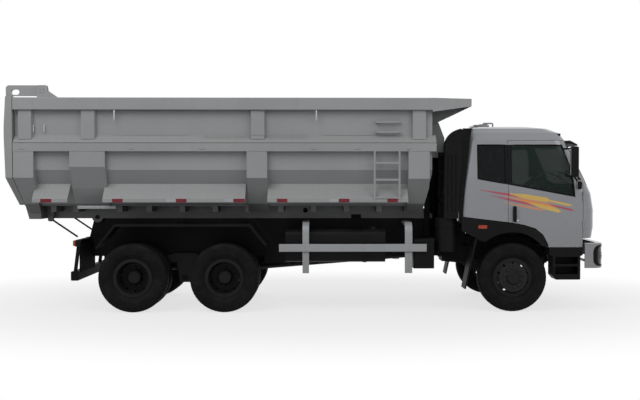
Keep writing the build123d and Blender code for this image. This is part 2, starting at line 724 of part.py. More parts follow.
with BuildPart() as fuel_tank:
    with BuildSketch(front_view(TANK_REAR)):
        with Locations((-(TANK_INNER_Y + TANK_OUTER_Y) / 2, (TANK_BOTTOM + TANK_TOP) / 2)):
            RectangleRounded(TANK_OUTER_Y - TANK_INNER_Y, TANK_TOP - TANK_BOTTOM, TANK_CORNER)
    extrude(amount=TANK_LENGTH)
    # straps and the brackets that bolt to the rail
    for x in (TANK_REAR + 280, TANK_REAR + TANK_LENGTH - 340):
        with BuildSketch(front_view(x)):
            with Locations((-(TANK_INNER_Y + TANK_OUTER_Y) / 2, (TANK_BOTTOM + TANK_TOP) / 2)):
                RectangleRounded(TANK_OUTER_Y - TANK_INNER_Y + 2 * STRAP,
                                 TANK_TOP - TANK_BOTTOM + 2 * STRAP,
                                 TANK_CORNER + STRAP)
        extrude(amount=60)
        with BuildSketch(front_view(x)):
            with BuildLine():
                Polyline((-RAIL_OUTER_Y, RAIL_TOP - 10), (-RAIL_OUTER_Y, RAIL_BOTTOM),
                         (-TANK_INNER_Y - 60, TANK_BOTTOM), (-TANK_INNER_Y - 60, RAIL_TOP - 10), close=True)
            make_face()
        extrude(amount=60)
    with BuildSketch(plan_view(TANK_TOP)):
        with Locations((TANK_REAR + TANK_LENGTH - 180, -TANK_OUTER_Y + 150)):
            Circle(55)
    extrude(amount=38)

AIR_TANK_RADIUS = 135.0
AIR_TANK_Y = 720.0
AIR_TANK_Z = 850.0
with BuildPart() as air_tanks:
    for x in (-250.0, 500.0):
        with BuildSketch(front_view(x)):
            with Locations((AIR_TANK_Y, AIR_TANK_Z)):
                Circle(AIR_TANK_RADIUS)
        extrude(amount=640)
        for strap_x in (x + 120, x + 480):
            with BuildSketch(front_view(strap_x)):
                with Locations((AIR_TANK_Y, AIR_TANK_Z)):
                    Circle(AIR_TANK_RADIUS + STRAP)
                with Locations(((AIR_TANK_Y + RAIL_OUTER_Y) / 2, AIR_TANK_Z + 60)):
                    Rectangle(AIR_TANK_Y - RAIL_OUTER_Y, 60)
            extrude(amount=40)

with BuildPart() as tanks:
    add(fuel_tank.part)
    add(air_tanks.part)
tanks.part.label = "tanks"
export_step(tanks.part, "parts/tanks.step")

BATTERY_REAR = 1590.0
BATTERY_FRONT = 1900.0
BATTERY_OUTER_Y = 1150.0
with BuildPart() as battery_box:
    with BuildSketch(plan_view(650)):
        with Locations(((BATTERY_REAR + BATTERY_FRONT) / 2, -BATTERY_OUTER_Y + 260)):
            RectangleRounded(BATTERY_FRONT - BATTERY_REAR, 520, 25)
    extrude(amount=400)
    with BuildSketch(plan_view(1050)):
        with Locations(((BATTERY_REAR + BATTERY_FRONT) / 2, -BATTERY_OUTER_Y + 260)):
            RectangleRounded(BATTERY_FRONT - BATTERY_REAR + 20, 540, 30)
    extrude(amount=36)
    for z in (720, 920):
        with BuildSketch(front_view(BATTERY_REAR + 60)):
            with Locations((-(RAIL_OUTER_Y + BATTERY_OUTER_Y - 520) / 2, z)):
                Rectangle(BATTERY_OUTER_Y - 520 - RAIL_OUTER_Y, 60)
        extrude(amount=BATTERY_FRONT - BATTERY_REAR - 120)
battery_box.part.label = "battery_box"
export_step(battery_box.part, "parts/battery_box.step")

# ---------------------------------------------------------------- air intake
STACK_OUTER_Y = 1195.0
STACK_INNER_Y = 985.0
FILTER_RADIUS = 165.0
FILTER_X = 2095.0
FILTER_Y = -985.0
FILTER_BOTTOM = 900.0
FILTER_TOP = 1400.0
with BuildPart() as intake_stack:
    with BuildSketch(side_view(-STACK_INNER_Y)):
        with BuildLine():
            Polyline((2330, 2640), (2296, 2100), (2268, 1824), (2250, FILTER_TOP), (2040, FILTER_TOP),
                     (2046, 2000), (2052, 2440))
            ThreePointArc((2052, 2440), (2110, 2630), (2262, 2735))
            ThreePointArc((2262, 2735), (2325, 2717), (2330, 2640))
        make_face()
    extrude(amount=STACK_OUTER_Y - STACK_INNER_Y)
    # vertical flutes in the outer and rear faces
    for x in (2090, 2150, 2210):
        with BuildSketch(plan_view(1500)):
            with Locations((x, -STACK_OUTER_Y)):
                Circle(10)
        extrude(amount=850, mode=Mode.SUBTRACT)
    # air cleaner below, with its cover band
    with BuildSketch(plan_view(FILTER_BOTTOM)):
        with Locations((FILTER_X, FILTER_Y)):
            Circle(FILTER_RADIUS)
    extrude(amount=FILTER_TOP - FILTER_BOTTOM)
    with BuildSketch(plan_view(FILTER_TOP - 130)):
        with Locations((FILTER_X, FILTER_Y)):
            Circle(FILTER_RADIUS + 10)
    extrude(amount=36)
    # bracket to the frame
    with BuildSketch(front_view(FILTER_X - 60)):
        with Locations((-(RAIL_OUTER_Y + 860) / 2, 980)):
            Rectangle(860 - RAIL_OUTER_Y, 70)
    extrude(amount=120)
intake_stack.part.label = "intake_stack"
export_step(intake_stack.part, "parts/intake_stack.step")

# ---------------------------------------------------------------- mudguards and wings
GUARD_THICKNESS = 12.0
GUARD_OUTER_Y = 1205.0
GUARD_INNER_Y = 640.0
REAR_GUARD_Z = 1317.0
REAR_GUARD_LINE = ((-3148.0, 970.0), (-2865.0, REAR_GUARD_Z), (-851.0, REAR_GUARD_Z), (-600.0, 1010.0))
GUARD_LIP = 34.0

with BuildPart() as rear_mudguards:
    for sign in (1, -1):
        with BuildSketch(side_view(sign * (GUARD_OUTER_Y + GUARD_INNER_Y) / 2)):
            with BuildLine():
                Polyline(*REAR_GUARD_LINE)
                offset(amount=GUARD_THICKNESS, side=Side.RIGHT)
            make_face()
        extrude(amount=(GUARD_OUTER_Y - GUARD_INNER_Y) / 2, both=True)
        with BuildSketch(side_view(sign * (GUARD_OUTER_Y - 4))):
            with BuildLine():
                Polyline(*REAR_GUARD_LINE)
                offset(amount=GUARD_LIP, side=Side.RIGHT)
            make_face()
        extrude(amount=4, both=True)
        # stays to the rail
        for x in (-2700.0, BOGIE_X, -1000.0):
            with BuildSketch(plan_view(REAR_GUARD_Z - GUARD_THICKNESS - 40)):
                with Locations((x, sign * (RAIL_OUTER_Y + GUARD_OUTER_Y - 60) / 2)):
                    Rectangle(50, GUARD_OUTER_Y - 60 - RAIL_OUTER_Y)
            extrude(amount=40)

ARCH_RADIUS = 680.0
WING_OUTER_Y = 1212.0
WING_VALANCE = 16.0
WING_INNER_Y = 880.0
WING_TOP = ((2300.0, 1422.0), (2990.0, 1338.0), (3219.0, 1300.0), (3395.0, 1246.0), (3510.0, 1150.0),
            (3588.0, 1000.0), (3588.0, 955.0))
WING_REAR_Z = 1215.0
FLAP_TOP = (2530.0, 1085.0)
FLAP_BOTTOM = (2345.0, 348.0)
FLAP_THICKNESS = 20.0


def arch_point(angle, radius=ARCH_RADIUS):
    """Point on the wheel arch, angle measured from straight ahead, upwards."""
    return (FRONT_AXLE_X + radius * cos(radians(angle)), AXLE_Z + radius * sin(radians(angle)))


ARCH_FRONT_ANGLE = degrees(asin((955.0 - AXLE_Z) / ARCH_RADIUS))
ARCH_REAR_ANGLE = 128.0
with BuildPart() as front_wings:
    for sign in (1, -1):
        # outer valance
        with BuildSketch(side_view(sign * (WING_OUTER_Y - WING_VALANCE / 2))):
            with BuildLine():
                Polyline(*WING_TOP)
                Line(WING_TOP[-1], arch_point(ARCH_FRONT_ANGLE))
                ThreePointArc(arch_point(ARCH_FRONT_ANGLE), arch_point(85), arch_point(ARCH_REAR_ANGLE))
                Polyline(arch_point(ARCH_REAR_ANGLE), (2500, 1120), (2300, WING_REAR_Z), WING_TOP[0])
            make_face()
        extrude(amount=WING_VALANCE / 2, both=True)
        # arch liner over the wheel
        with BuildSketch(side_view(sign * (WING_OUTER_Y + WING_INNER_Y) / 2)):
            with BuildLine():
                ThreePointArc(arch_point(ARCH_FRONT_ANGLE + 2), arch_point(85), arch_point(ARCH_REAR_ANGLE))
                ThreePointArc(arch_point(ARCH_FRONT_ANGLE + 2, ARCH_RADIUS + 12),
                              arch_point(85, ARCH_RADIUS + 12),
                              arch_point(ARCH_REAR_ANGLE, ARCH_RADIUS + 12))
                Line(arch_point(ARCH_FRONT_ANGLE + 2), arch_point(ARCH_FRONT_ANGLE + 2, ARCH_RADIUS + 12))
                Line(arch_point(ARCH_REAR_ANGLE), arch_point(ARCH_REAR_ANGLE, ARCH_RADIUS + 12))
            make_face()
        extrude(amount=(WING_OUTER_Y - WING_INNER_Y) / 2, both=True)
        # rear shelf and mud flap
        with BuildSketch(side_view(sign * (WING_OUTER_Y + WING_INNER_Y) / 2)):
            with BuildLine():
                Polyline(arch_point(ARCH_REAR_ANGLE), arch_point(ARCH_REAR_ANGLE, ARCH_RADIUS + 12),
                         (FLAP_TOP[0] - 30, FLAP_TOP[1] + 20), FLAP_BOTTOM,
                         (FLAP_BOTTOM[0] + FLAP_THICKNESS, FLAP_BOTTOM[1]), (FLAP_TOP[0], FLAP_TOP[1]),
                         close=True)
            make_face()
        extrude(amount=(WING_OUTER_Y - WING_INNER_Y) / 2, both=True)
        # stays to the rail
        for x, z in ((2460.0, 960.0), (3560.0, 985.0)):
            with BuildSketch(side_view(sign * (RAIL_OUTER_Y))):
                with Locations((x, z)):
                    Circle(22)
            extrude(amount=-sign * (WING_INNER_Y + 10 - RAIL_OUTER_Y))

with BuildPart() as mudguards:
    add(rear_mudguards.part)
    add(front_wings.part)
mudguards.part.label = "mudguards"
export_step(mudguards.part, "parts/mudguards.step")

# amber side markers on the wings
MARKER_X = 2613.0
MARKER_Z = 1275.0
with BuildPart() as side_markers:
    for sign in (1, -1):
        with BuildSketch(side_view(sign * WING_OUTER_Y)):
            with Locations((MARKER_X, MARKER_Z)):
                RectangleRounded(140, 56, 16)
        extrude(amount=-sign * 12, taper=20)

# ---------------------------------------------------------------- side guards and under-run bar
GUARD_BAR_REAR = -421.0
GUARD_BAR_FRONT = 1777.0
GUARD_BAR_BOTTOM = 907.0
GUARD_BAR_TOP = 1022.0
GUARD_BAR_Y = 1212.0
GUARD_BAR_DEPTH = 28.0
GUARD_POST_DEPTH = 45.0
GUARD_POSTS = ((-24.0, 97.0), (1511.0, 109.0))     # middle, width
GUARD_POST_BOTTOM = 585.0
GUARD_POST_TOP = 1345.0
GUARD_POST_BEND = 150.0

with BuildPart() as side_guards:
    for sign in (1, -1):
        with BuildSketch(front_view(GUARD_BAR_REAR)):
            with Locations((sign * (GUARD_BAR_Y - GUARD_BAR_DEPTH / 2),
                            (GUARD_BAR_BOTTOM + GUARD_BAR_TOP) / 2)):
                RectangleRounded(GUARD_BAR_DEPTH, GUARD_BAR_TOP - GUARD_BAR_BOTTOM, 8)
        extrude(amount=GUARD_BAR_FRONT - GUARD_BAR_REAR)
        face_y = GUARD_BAR_Y - GUARD_BAR_DEPTH
        for x, width in GUARD_POSTS:
            with BuildSketch(front_view(x - width / 2)):
                with BuildLine():
                    knee = (sign * face_y, GUARD_POST_TOP - GUARD_POST_BEND)
                    bend = (sign * (face_y - GUARD_POST_BEND * (1 - cos(radians(45)))),
                            GUARD_POST_TOP - GUARD_POST_BEND * (1 - sin(radians(45))))
                    crown = (sign * (face_y - GUARD_POST_BEND), GUARD_POST_TOP)
                    Line((sign * face_y, GUARD_POST_BOTTOM), knee)
                    ThreePointArc(knee, bend, crown)
                    Line(crown, (sign * RAIL_OUTER_Y, GUARD_POST_TOP))
                    low_crown = (crown[0], GUARD_POST_TOP - GUARD_POST_DEPTH)
                    inner = GUARD_POST_BEND - GUARD_POST_DEPTH
                    low_bend = (sign * (face_y - GUARD_POST_BEND + inner * cos(radians(45))),
                                GUARD_POST_TOP - GUARD_POST_BEND + inner * sin(radians(45)))
                    low_knee = (sign * (face_y - GUARD_POST_DEPTH), knee[1])
                    Line((sign * RAIL_OUTER_Y, GUARD_POST_TOP), (sign * RAIL_OUTER_Y, low_crown[1]))
                    Line((sign * RAIL_OUTER_Y, low_crown[1]), low_crown)
                    ThreePointArc(low_crown, low_bend, low_knee)
                    Line(low_knee, (sign * (face_y - GUARD_POST_DEPTH), GUARD_POST_BOTTOM))
                    Line((sign * (face_y - GUARD_POST_DEPTH), GUARD_POST_BOTTOM),
                         (sign * face_y, GUARD_POST_BOTTOM))
                make_face()
            extrude(amount=width)
side_guards.part.label = "side_guards"
export_step(side_guards.part, "parts/side_guards.step")

UNDERRUN_REAR = -3534.0
UNDERRUN_DEPTH = 118.0
UNDERRUN_BOTTOM = 470.0
UNDERRUN_HEIGHT = 140.0
UNDERRUN_HALF = 1110.0
with BuildPart() as underrun_bar:
    with BuildSketch(side_view(UNDERRUN_HALF)):
        with Locations((UNDERRUN_REAR + UNDERRUN_DEPTH / 2, UNDERRUN_BOTTOM + UNDERRUN_HEIGHT / 2)):
            RectangleRounded(UNDERRUN_DEPTH, UNDERRUN_HEIGHT, 18)
    extrude(amount=2 * UNDERRUN_HALF)
    for sign in (1, -1):
        with BuildSketch(side_view(sign * (RAIL_OUTER_Y + 18))):
            with BuildLine():
                Polyline((FRAME_REAR + 10, UNDERRUN_BOTTOM + UNDERRUN_HEIGHT - 10),
                         (FRAME_REAR + 60, REAR_BEAM_BOTTOM),
                         (FRAME_REAR + 8, REAR_BEAM_BOTTOM),
                         (FRAME_REAR - 40, UNDERRUN_BOTTOM + UNDERRUN_HEIGHT - 10),
                         close=True)
            make_face()
        extrude(amount=18, both=True)
        with BuildSketch(side_view(sign * 1000)):
            with BuildLine():
                Polyline((FRAME_REAR + 10, UNDERRUN_BOTTOM + UNDERRUN_HEIGHT - 10),
                         (FRAME_REAR + 60, REAR_BEAM_BOTTOM),
                         (FRAME_REAR + 8, REAR_BEAM_BOTTOM),
                         (FRAME_REAR - 40, UNDERRUN_BOTTOM + UNDERRUN_HEIGHT - 10),
                         close=True)
            make_face()
        extrude(amount=12, both=True)
underrun_bar.part.label = "underrun_bar"
export_step(underrun_bar.part, "parts/underrun_bar.step")

LAMP_DEPTH = 38.0
with BuildPart() as tail_lamps:
    for sign in (1, -1):
        with BuildSketch(front_view(FRAME_REAR)):
            with Locations((sign * (REAR_BEAM_HALF - 170), REAR_BEAM_BOTTOM + 50)):
                RectangleRounded(300, 90, 12)
        extrude(amount=-LAMP_DEPTH, taper=6)

with BuildPart() as marker_lamps:
    add(side_markers.part)
    add(tail_lamps.part)
marker_lamps.part.label = "marker_lamps"
export_step(marker_lamps.part, "parts/marker_lamps.step")

# ---------------------------------------------------------------- bumper, headlamps and steps
BUMPER_FRONT = 4466.0
BUMPER_REAR = 4144.0
BUMPER_BOTTOM = 660.0
BUMPER_TOP = 1030.0
BUMPER_HALF = 1218.0
BUMPER_WALL = 26.0
BUMPER_CORNER = 190.0
BUMPER_BOW = 26.0
BUMPER_LEG_FRONT = BUMPER_FRONT - 20
LENS_INNER_Y = 930.0
LENS_OUTER_Y = 1212.0
LENS_BOTTOM = 690.0
LENS_TOP = 1000.0


def bumper_plan(inset):
    """Outline of the bumper from above, moved inwards by inset."""
    half = BUMPER_HALF - inset
    corner = BUMPER_CORNER - inset
    face = BUMPER_FRONT - BUMPER_BOW - inset
    mid = 1 - sqrt(0.5)
    with BuildLine() as outline:
        for side in (1, -1):
            tangent = (face - corner, side * half)
            bend = (face - corner * mid, side * (half - corner * mid))
            front = (face, side * (half - corner))
            Line((BUMPER_REAR, side * half), tangent)
            ThreePointArc(tangent, bend, front)
        ThreePointArc((face, half - corner), (face + BUMPER_BOW, 0), (face, corner - half))
        Line((BUMPER_REAR, half), (BUMPER_REAR, -half))
    return outline.line


with BuildPart() as bumper_shell:
    with BuildSketch(plan_view(BUMPER_BOTTOM)):
        add(bumper_plan(0))
        make_face()
    extrude(amount=BUMPER_TOP - BUMPER_BOTTOM)
    with BuildSketch(plan_view(BUMPER_BOTTOM - 1)):
        add(bumper_plan(BUMPER_WALL))
        make_face()
    extrude(amount=BUMPER_TOP - BUMPER_BOTTOM - BUMPER_WALL, mode=Mode.SUBTRACT)
    with BuildSketch(plan_view(BUMPER_BOTTOM - 1)):
        add(bumper_plan(90))
        make_face()
    extrude(amount=BUMPER_TOP - BUMPER_BOTTOM + 2, mode=Mode.SUBTRACT)

with BuildPart() as lens_zone:
    for sign in (1, -1):
        with BuildSketch(front_view(4330)):
            with Locations((sign * (LENS_INNER_Y + LENS_OUTER_Y) / 2, (LENS_BOTTOM + LENS_TOP) / 2)):
                RectangleRounded(LENS_OUTER_Y - LENS_INNER_Y, LENS_TOP - LENS_BOTTOM, 60)
        extrude(amount=200)

with BuildPart() as front_bumper:
    add(bumper_shell.part)
    add(lens_zone.part, mode=Mode.SUBTRACT)
    # central air opening with two bars and a place for the number plate
    with BuildSketch(front_view(4400)):
        with Locations((0, 745)):
            RectangleRounded(1100, 90, 20)
    extrude(amount=100, mode=Mode.SUBTRACT)
    # legs to the ends of the rails
    for sign in (1, -1):
        with BuildSketch(plan_view(RAIL_BOTTOM + 20)):
            with Locations(((FRAME_FRONT + BUMPER_LEG_FRONT) / 2, sign * (RAIL_OUTER_Y - RAIL_FLANGE / 2))):
                Rectangle(BUMPER_LEG_FRONT - FRAME_FRONT, RAIL_FLANGE)
        extrude(amount=150)
front_bumper.part.label = "front_bumper"
export_step(front_bumper.part, "parts/front_bumper.step")

with BuildPart() as headlamps:
    add(bumper_shell.part)
    add(lens_zone.part, mode=Mode.INTERSECT)
headlamps.part.label = "headlamps"
export_step(headlamps.part, "parts/headlamps.step")

STEP_REAR = 3664.0
STEP_FRONT = 4077.0
STEP_OUTER_Y = 1215.0
STEP_INNER_Y = 930.0
STEP_BOTTOM = 486.0
STEP_TOP = 965.0
STEP_SILL = 851.0
STEP_RECESS = 200.0
STEP_TREADS = (566.0, 720.0)       # tops of the treads

with BuildPart() as cab_steps:
    for sign in (1, -1):
        with BuildSketch(side_view(sign * (STEP_OUTER_Y + STEP_INNER_Y) / 2)):
            with BuildLine():
                Polyline((STEP_REAR, STEP_BOTTOM + 60), (STEP_REAR, STEP_SILL - 10), (3612, STEP_SILL),
                         (3612, STEP_TOP),
                         (4110, STEP_TOP), (4110, STEP_SILL), (STEP_FRONT, STEP_SILL - 10),
                         (STEP_FRONT, STEP_BOTTOM + 12), (STEP_FRONT - 12, STEP_BOTTOM),
                         (STEP_REAR + 50, STEP_BOTTOM), close=True)
            make_face()
        extrude(amount=(STEP_OUTER_Y - STEP_INNER_Y) / 2, both=True)
        for tread, above in zip(STEP_TREADS, STEP_TREADS[1:] + (STEP_SILL + 10,)):
            with BuildSketch(side_view(sign * STEP_OUTER_Y)):
                with Locations(((STEP_REAR + STEP_FRONT) / 2, (tread + above - 34) / 2)):
                    RectangleRounded(STEP_FRONT - STEP_REAR - 70, above - 34 - tread, 12)
            extrude(amount=sign * STEP_RECESS, mode=Mode.SUBTRACT)
        for x in (3740.0, 4000.0):
            with BuildSketch(front_view(x)):
                with Locations((sign * (RAIL_OUTER_Y + STEP_INNER_Y) / 2, 880)):
                    Rectangle(STEP_INNER_Y - RAIL_OUTER_Y, 60)
            extrude(amount=44)
cab_steps.part.label = "cab_steps"
export_step(cab_steps.part, "parts/cab_steps.step")

# ---------------------------------------------------------------- cab shell
# height, rear x, front x, half width, front corner radius, rear corner radius, bow of the front
CAB_SECTIONS = (
    (960.0, 2290.0, 4270.0, 1206.0, 220.0, 120.0, 30.0),
    (1100.0, 2290.0, 4325.0, 1210.0, 230.0, 120.0, 34.0),
    (1260.0, 2292.0, 4356.0, 1214.0, 240.0, 120.0, 36.0),
    (1527.0, 2302.0, 4359.0, CAB_HALF_WIDTH, 240.0, 125.0, 38.0),
    (1772.0, 2320.0, 4322.0, CAB_HALF_WIDTH, 240.0, 125.0, 40.0),
    (2016.0, 2348.0, 4215.0, 1210.0, 235.0, 125.0, 44.0),
    (2570.0, 2400.0, 3946.0, 1142.0, 210.0, 125.0, 50.0),
    (2686.0, 2424.0, 3862.0, 1085.0, 200.0, 120.0, 46.0),
    (2752.0, 2470.0, 3700.0, 1000.0, 190.0, 115.0, 40.0),
    (2788.0, 2620.0, 3460.0, 800.0, 180.0, 110.0, 30.0),
)
CAB_ROOF_SEAM = 2572.0
CAB_FLOOR_SEAM = 1105.0


def cab_section(row, inset):
    """Rounded outline of the cab at one height, moved inwards by inset."""
    height, rear, front, half, front_radius, rear_radius, bow = row
    if height > CAB_ROOF_SEAM:
        height -= inset
    rear += inset
    front -= inset
    half -= inset
    front_radius -= inset
    rear_radius -= inset
    face = front - bow
    mid = 1 - sqrt(0.5)
    with BuildSketch(plan_view(height)) as section:
        with BuildLine():
            for side in (1, -1):
                tangent = (face - front_radius, side * half)
                bend = (face - front_radius * mid, side * (half - front_radius * mid))
                Line((rear + rear_radius, side * half), tangent)
                ThreePointArc(tangent, bend, (face, side * (half - front_radius)))
                back_bend = (rear + rear_radius * mid, side * (half - rear_radius * mid))
                ThreePointArc((rear + rear_radius, side * half), back_bend,
                              (rear, side * (half - rear_radius)))
            ThreePointArc((face, half - front_radius), (front, 0), (face, front_radius - half))
            Line((rear, half - rear_radius), (rear, rear_radius - half))
        make_face()
    return section.sketch


def cab_solid(inset):
    """The cab's outer form, moved inwards by inset."""
    return loft([cab_section(row, inset) for row in CAB_SECTIONS], ruled=True, mode=Mode.PRIVATE)


cab_outer = cab_solid(0)
cab_inner = cab_solid(CAB_WALL)
cab_shell = cab_outer - cab_inner
glass_skin = cab_solid(CAB_GLASS_INSET) - cab_solid(CAB_GLASS_INSET + CAB_GLASS)


def side_prism(points, y_from, y_to):
    """Straight prism across the truck: points are (x, z)."""
    with BuildPart() as prism:
        with BuildSketch(side_view(max(y_from, y_to))):
            with BuildLine():
                Polyline(*points, close=True)
            make_face()
        extrude(amount=abs(y_to - y_from))
    return prism.part


DOOR_REAR = 2997.0
DOOR_FRONT = 4112.0
DOOR_BELT = 2010.0
DOOR_TOP = CAB_ROOF_SEAM - DOOR_GAP
DOOR_TOP_FRONT = 3862.0
DOOR_BOTTOM = STEP_TOP + 7
# the door's outline, down the rear edge, round the wheel arch and up the front edge
DOOR_LINE = ((DOOR_REAR, DOOR_TOP), (DOOR_REAR, 1347.0), (3219.0, 1310.0), (3400.0, 1256.0),
             (3520.0, 1158.0),
             (3600.0, 1005.0), (3600.0, DOOR_BOTTOM), (DOOR_FRONT, DOOR_BOTTOM), (DOOR_FRONT, DOOR_BELT),
             (DOOR_TOP_FRONT, DOOR_TOP))
DOOR_WINDOW = ((3045.0, 2492.0), (3045.0, 1918.0), (3985.0, 1735.0), (3935.0, 2110.0), (3800.0, 2492.0))
SIDE_WINDOW = ((2545.0, 2492.0), (2545.0, 1998.0), (2950.0, 1926.0), (2950.0, 2492.0))
SIDE_LINE = ((2200.0, 1443.0), (DOOR_REAR - DOOR_GAP, 1347.0), (DOOR_REAR - DOOR_GAP, CAB_ROOF_SEAM),
             (2200.0, CAB_ROOF_SEAM))
REAR_WALL_HALF = 1060.0
CAB_REAR_BOTTOM = 1350.0
FRONT_EDGE = DOOR_FRONT + DOOR_GAP
FRONT_TOP_EDGE = DOOR_TOP_FRONT + DOOR_GAP + 2
FRONT_LINE = ((FRONT_EDGE, CAB_FLOOR_SEAM), (FRONT_EDGE, DOOR_BELT + 2), (FRONT_TOP_EDGE, CAB_ROOF_SEAM),
              (4500.0, CAB_ROOF_SEAM), (4500.0, CAB_FLOOR_SEAM))
SCREEN_HALF_BOTTOM = 1085.0
SCREEN_HALF_TOP = 1010.0
SCREEN_BOTTOM = 1905.0
SCREEN_TOP = 2525.0

# outside hinges of the doors: a knuckle of the door between two of the cab
DOOR_HINGE_Y = 1213.0
DOOR_HINGE_ROWS = (1300.0, 1730.0)
DOOR_BARREL_RADIUS = 13.0
DOOR_BARREL_LENGTH = 44.0
DOOR_PIN_RADIUS = 6.0
DOOR_BARREL_GAP = 1.5


def hinge_column(sign, z, length, radius):
    """Upright cylinder on a door's hinge line with its middle at height z."""
    with BuildPart() as column:
        with Locations((FRONT_EDGE, sign * DOOR_HINGE_Y, z)):
            Cylinder(radius, length)
    return column.part


doors = {}
door_panes = {}
for side, sign in SIDES:
    reach = (sign * 900, sign * 1400)
    with BuildPart() as door:
        add(cab_shell)
        add(side_prism(DOOR_LINE, *reach), mode=Mode.INTERSECT)
        add(side_prism(DOOR_WINDOW, *reach), mode=Mode.SUBTRACT)
        for z in DOOR_HINGE_ROWS:
            notch_length = 3 * DOOR_BARREL_LENGTH + 4 * DOOR_BARREL_GAP
            add(hinge_column(sign, z, notch_length, DOOR_BARREL_RADIUS + DOOR_GAP / 2), mode=Mode.SUBTRACT)
            add(hinge_column(sign, z, DOOR_BARREL_LENGTH, DOOR_BARREL_RADIUS))
            with Locations((DOOR_FRONT - DOOR_BARREL_RADIUS, sign * (DOOR_HINGE_Y - DOOR_BARREL_RADIUS),
                            z)):
                Box(2 * DOOR_BARREL_RADIUS, DOOR_BARREL_RADIUS, DOOR_BARREL_LENGTH)
            add(hinge_column(sign, z, DOOR_BARREL_LENGTH + 2, DOOR_PIN_RADIUS + SHAFT_CLEARANCE),
                mode=Mode.SUBTRACT)
    doors[side] = door
    with BuildPart() as pane:
        add(glass_skin)
        add(side_prism(DOOR_WINDOW, *reach), mode=Mode.INTERSECT)
    door_panes[side] = pane

with BuildPart() as cab_rear_wall:
    add(cab_shell)
    with BuildSketch(plan_view(CAB_REAR_BOTTOM)):
        with Locations((2350, 0)):
            Rectangle(300, 2 * REAR_WALL_HALF)
    extrude(amount=CAB_ROOF_SEAM - CAB_REAR_BOTTOM, mode=Mode.INTERSECT)
    # rear window and two pressed flutes
    with BuildSketch(front_view(2200)):
        with Locations((0, 2260)):
            RectangleRounded(1150, 380, 60)
    extrude(amount=400, mode=Mode.SUBTRACT)
cab_rear_wall.part.label = "cab_rear_wall"
export_step(cab_rear_wall.part, "parts/cab_rear_wall.step")

for side, sign in SIDES:
    with BuildPart() as cab_side:
        add(cab_shell)
        add(side_prism(SIDE_LINE, sign * REAR_WALL_HALF, sign * 1400), mode=Mode.INTERSECT)
        add(side_prism(SIDE_WINDOW, sign * 900, sign * 1400), mode=Mode.SUBTRACT)
    cab_side.part.label = f"cab_side_{side}"
    export_step(cab_side.part, f"parts/cab_side_{side}.step")

with BuildPart() as window_zone:
    for sign in (1, -1):
        add(side_prism(SIDE_WINDOW, sign * 900, sign * 1400))
    with BuildSketch(front_view(2200)):
        with Locations((0, 2260)):
            RectangleRounded(1150, 380, 60)
    extrude(amount=300)

with BuildPart() as cab_windows:
    add(glass_skin)
    add(window_zone.part, mode=Mode.INTERSECT)

HATCH_X = 2775.0
HATCH_LENGTH = 210.0
with BuildPart() as roof_skin:
    add(cab_shell)
    with BuildSketch(plan_view(CAB_ROOF_SEAM)):
        with Locations((3200, 0)):
            Rectangle(2400, 2600)
    extrude(amount=300, mode=Mode.INTERSECT)

# wedge that the windscreen opening is cut with
with BuildPart() as screen_cut:
    with BuildSketch(front_view(3800)):
        with BuildLine():
            Polyline((-SCREEN_HALF_BOTTOM, SCREEN_BOTTOM), (SCREEN_HALF_BOTTOM, SCREEN_BOTTOM),
                     (SCREEN_HALF_TOP, SCREEN_TOP), (-SCREEN_HALF_TOP, SCREEN_TOP), close=True)
        make_face()
    extrude(amount=700)

GRILLE_FACE_X = 4337.0
GRILLE_BOW = 21.0
GRILLE_DEPTH = 26.0
GRILLE_HALF = 749.7
GRILLE_Z = 1430.0
GRILLE_HEIGHT = 399.4
GRILLE_END = 715.0
GRILLE_BARS = 7
GRILLE_BAR = 28.0
with BuildPart() as cab_front:
    add(cab_shell)
    add(side_prism(FRONT_LINE, 1400, -1400), mode=Mode.INTERSECT)
    add(screen_cut.part, mode=Mode.SUBTRACT)
    # grille opening
    with BuildSketch(front_view(4200)):
        with Locations((0, GRILLE_Z)):
            Rectangle(1500, 400)
    extrude(amount=300, mode=Mode.SUBTRACT)
    # outer knuckles and pins of the door hinges
    for side, sign in SIDES:
        for z in DOOR_HINGE_ROWS:
            add(hinge_column(sign, z, DOOR_BARREL_LENGTH + 2 * DOOR_BARREL_GAP,
                             DOOR_BARREL_RADIUS + DOOR_GAP / 2),
                mode=Mode.SUBTRACT)
            for end in (1, -1):
                middle = z + end * (DOOR_BARREL_LENGTH + DOOR_BARREL_GAP)
                add(hinge_column(sign, middle, DOOR_BARREL_LENGTH, DOOR_BARREL_RADIUS))
            add(hinge_column(sign, z, 3 * DOOR_BARREL_LENGTH, DOOR_PIN_RADIUS))
cab_front.part.label = "cab_front"
export_step(cab_front.part, "parts/cab_front.step")

with BuildPart() as windscreen:
    add(glass_skin)
    add(screen_cut.part, mode=Mode.INTERSECT)

with BuildPart() as cab_glass:
    add(cab_windows.part)
    add(windscreen.part)
cab_glass.part.label = "cab_glass"
export_step(cab_glass.part, "parts/cab_glass.step")



def grille_plan(half):
    """Strip of the bowed grille seen from above, out to half the width either side."""
    with BuildSketch(Plane.XY) as strip:
        edge_x = GRILLE_FACE_X - GRILLE_BOW
        with BuildLine():
            ThreePointArc((edge_x, GRILLE_HALF), (GRILLE_FACE_X, 0), (edge_x, -GRILLE_HALF))
            Line((edge_x, -GRILLE_HALF), (edge_x - GRILLE_DEPTH, -GRILLE_HALF))
            ThreePointArc((edge_x - GRILLE_DEPTH, -GRILLE_HALF), (GRILLE_FACE_X - GRILLE_DEPTH, 0),
                          (edge_x - GRILLE_DEPTH, GRILLE_HALF))
            Line((edge_x - GRILLE_DEPTH, GRILLE_HALF), (edge_x, GRILLE_HALF))
        make_face()
        if half < GRILLE_HALF:
            Rectangle(2 * GRILLE_FACE_X + 200, 2 * half, mode=Mode.SUBTRACT)
    return strip.sketch


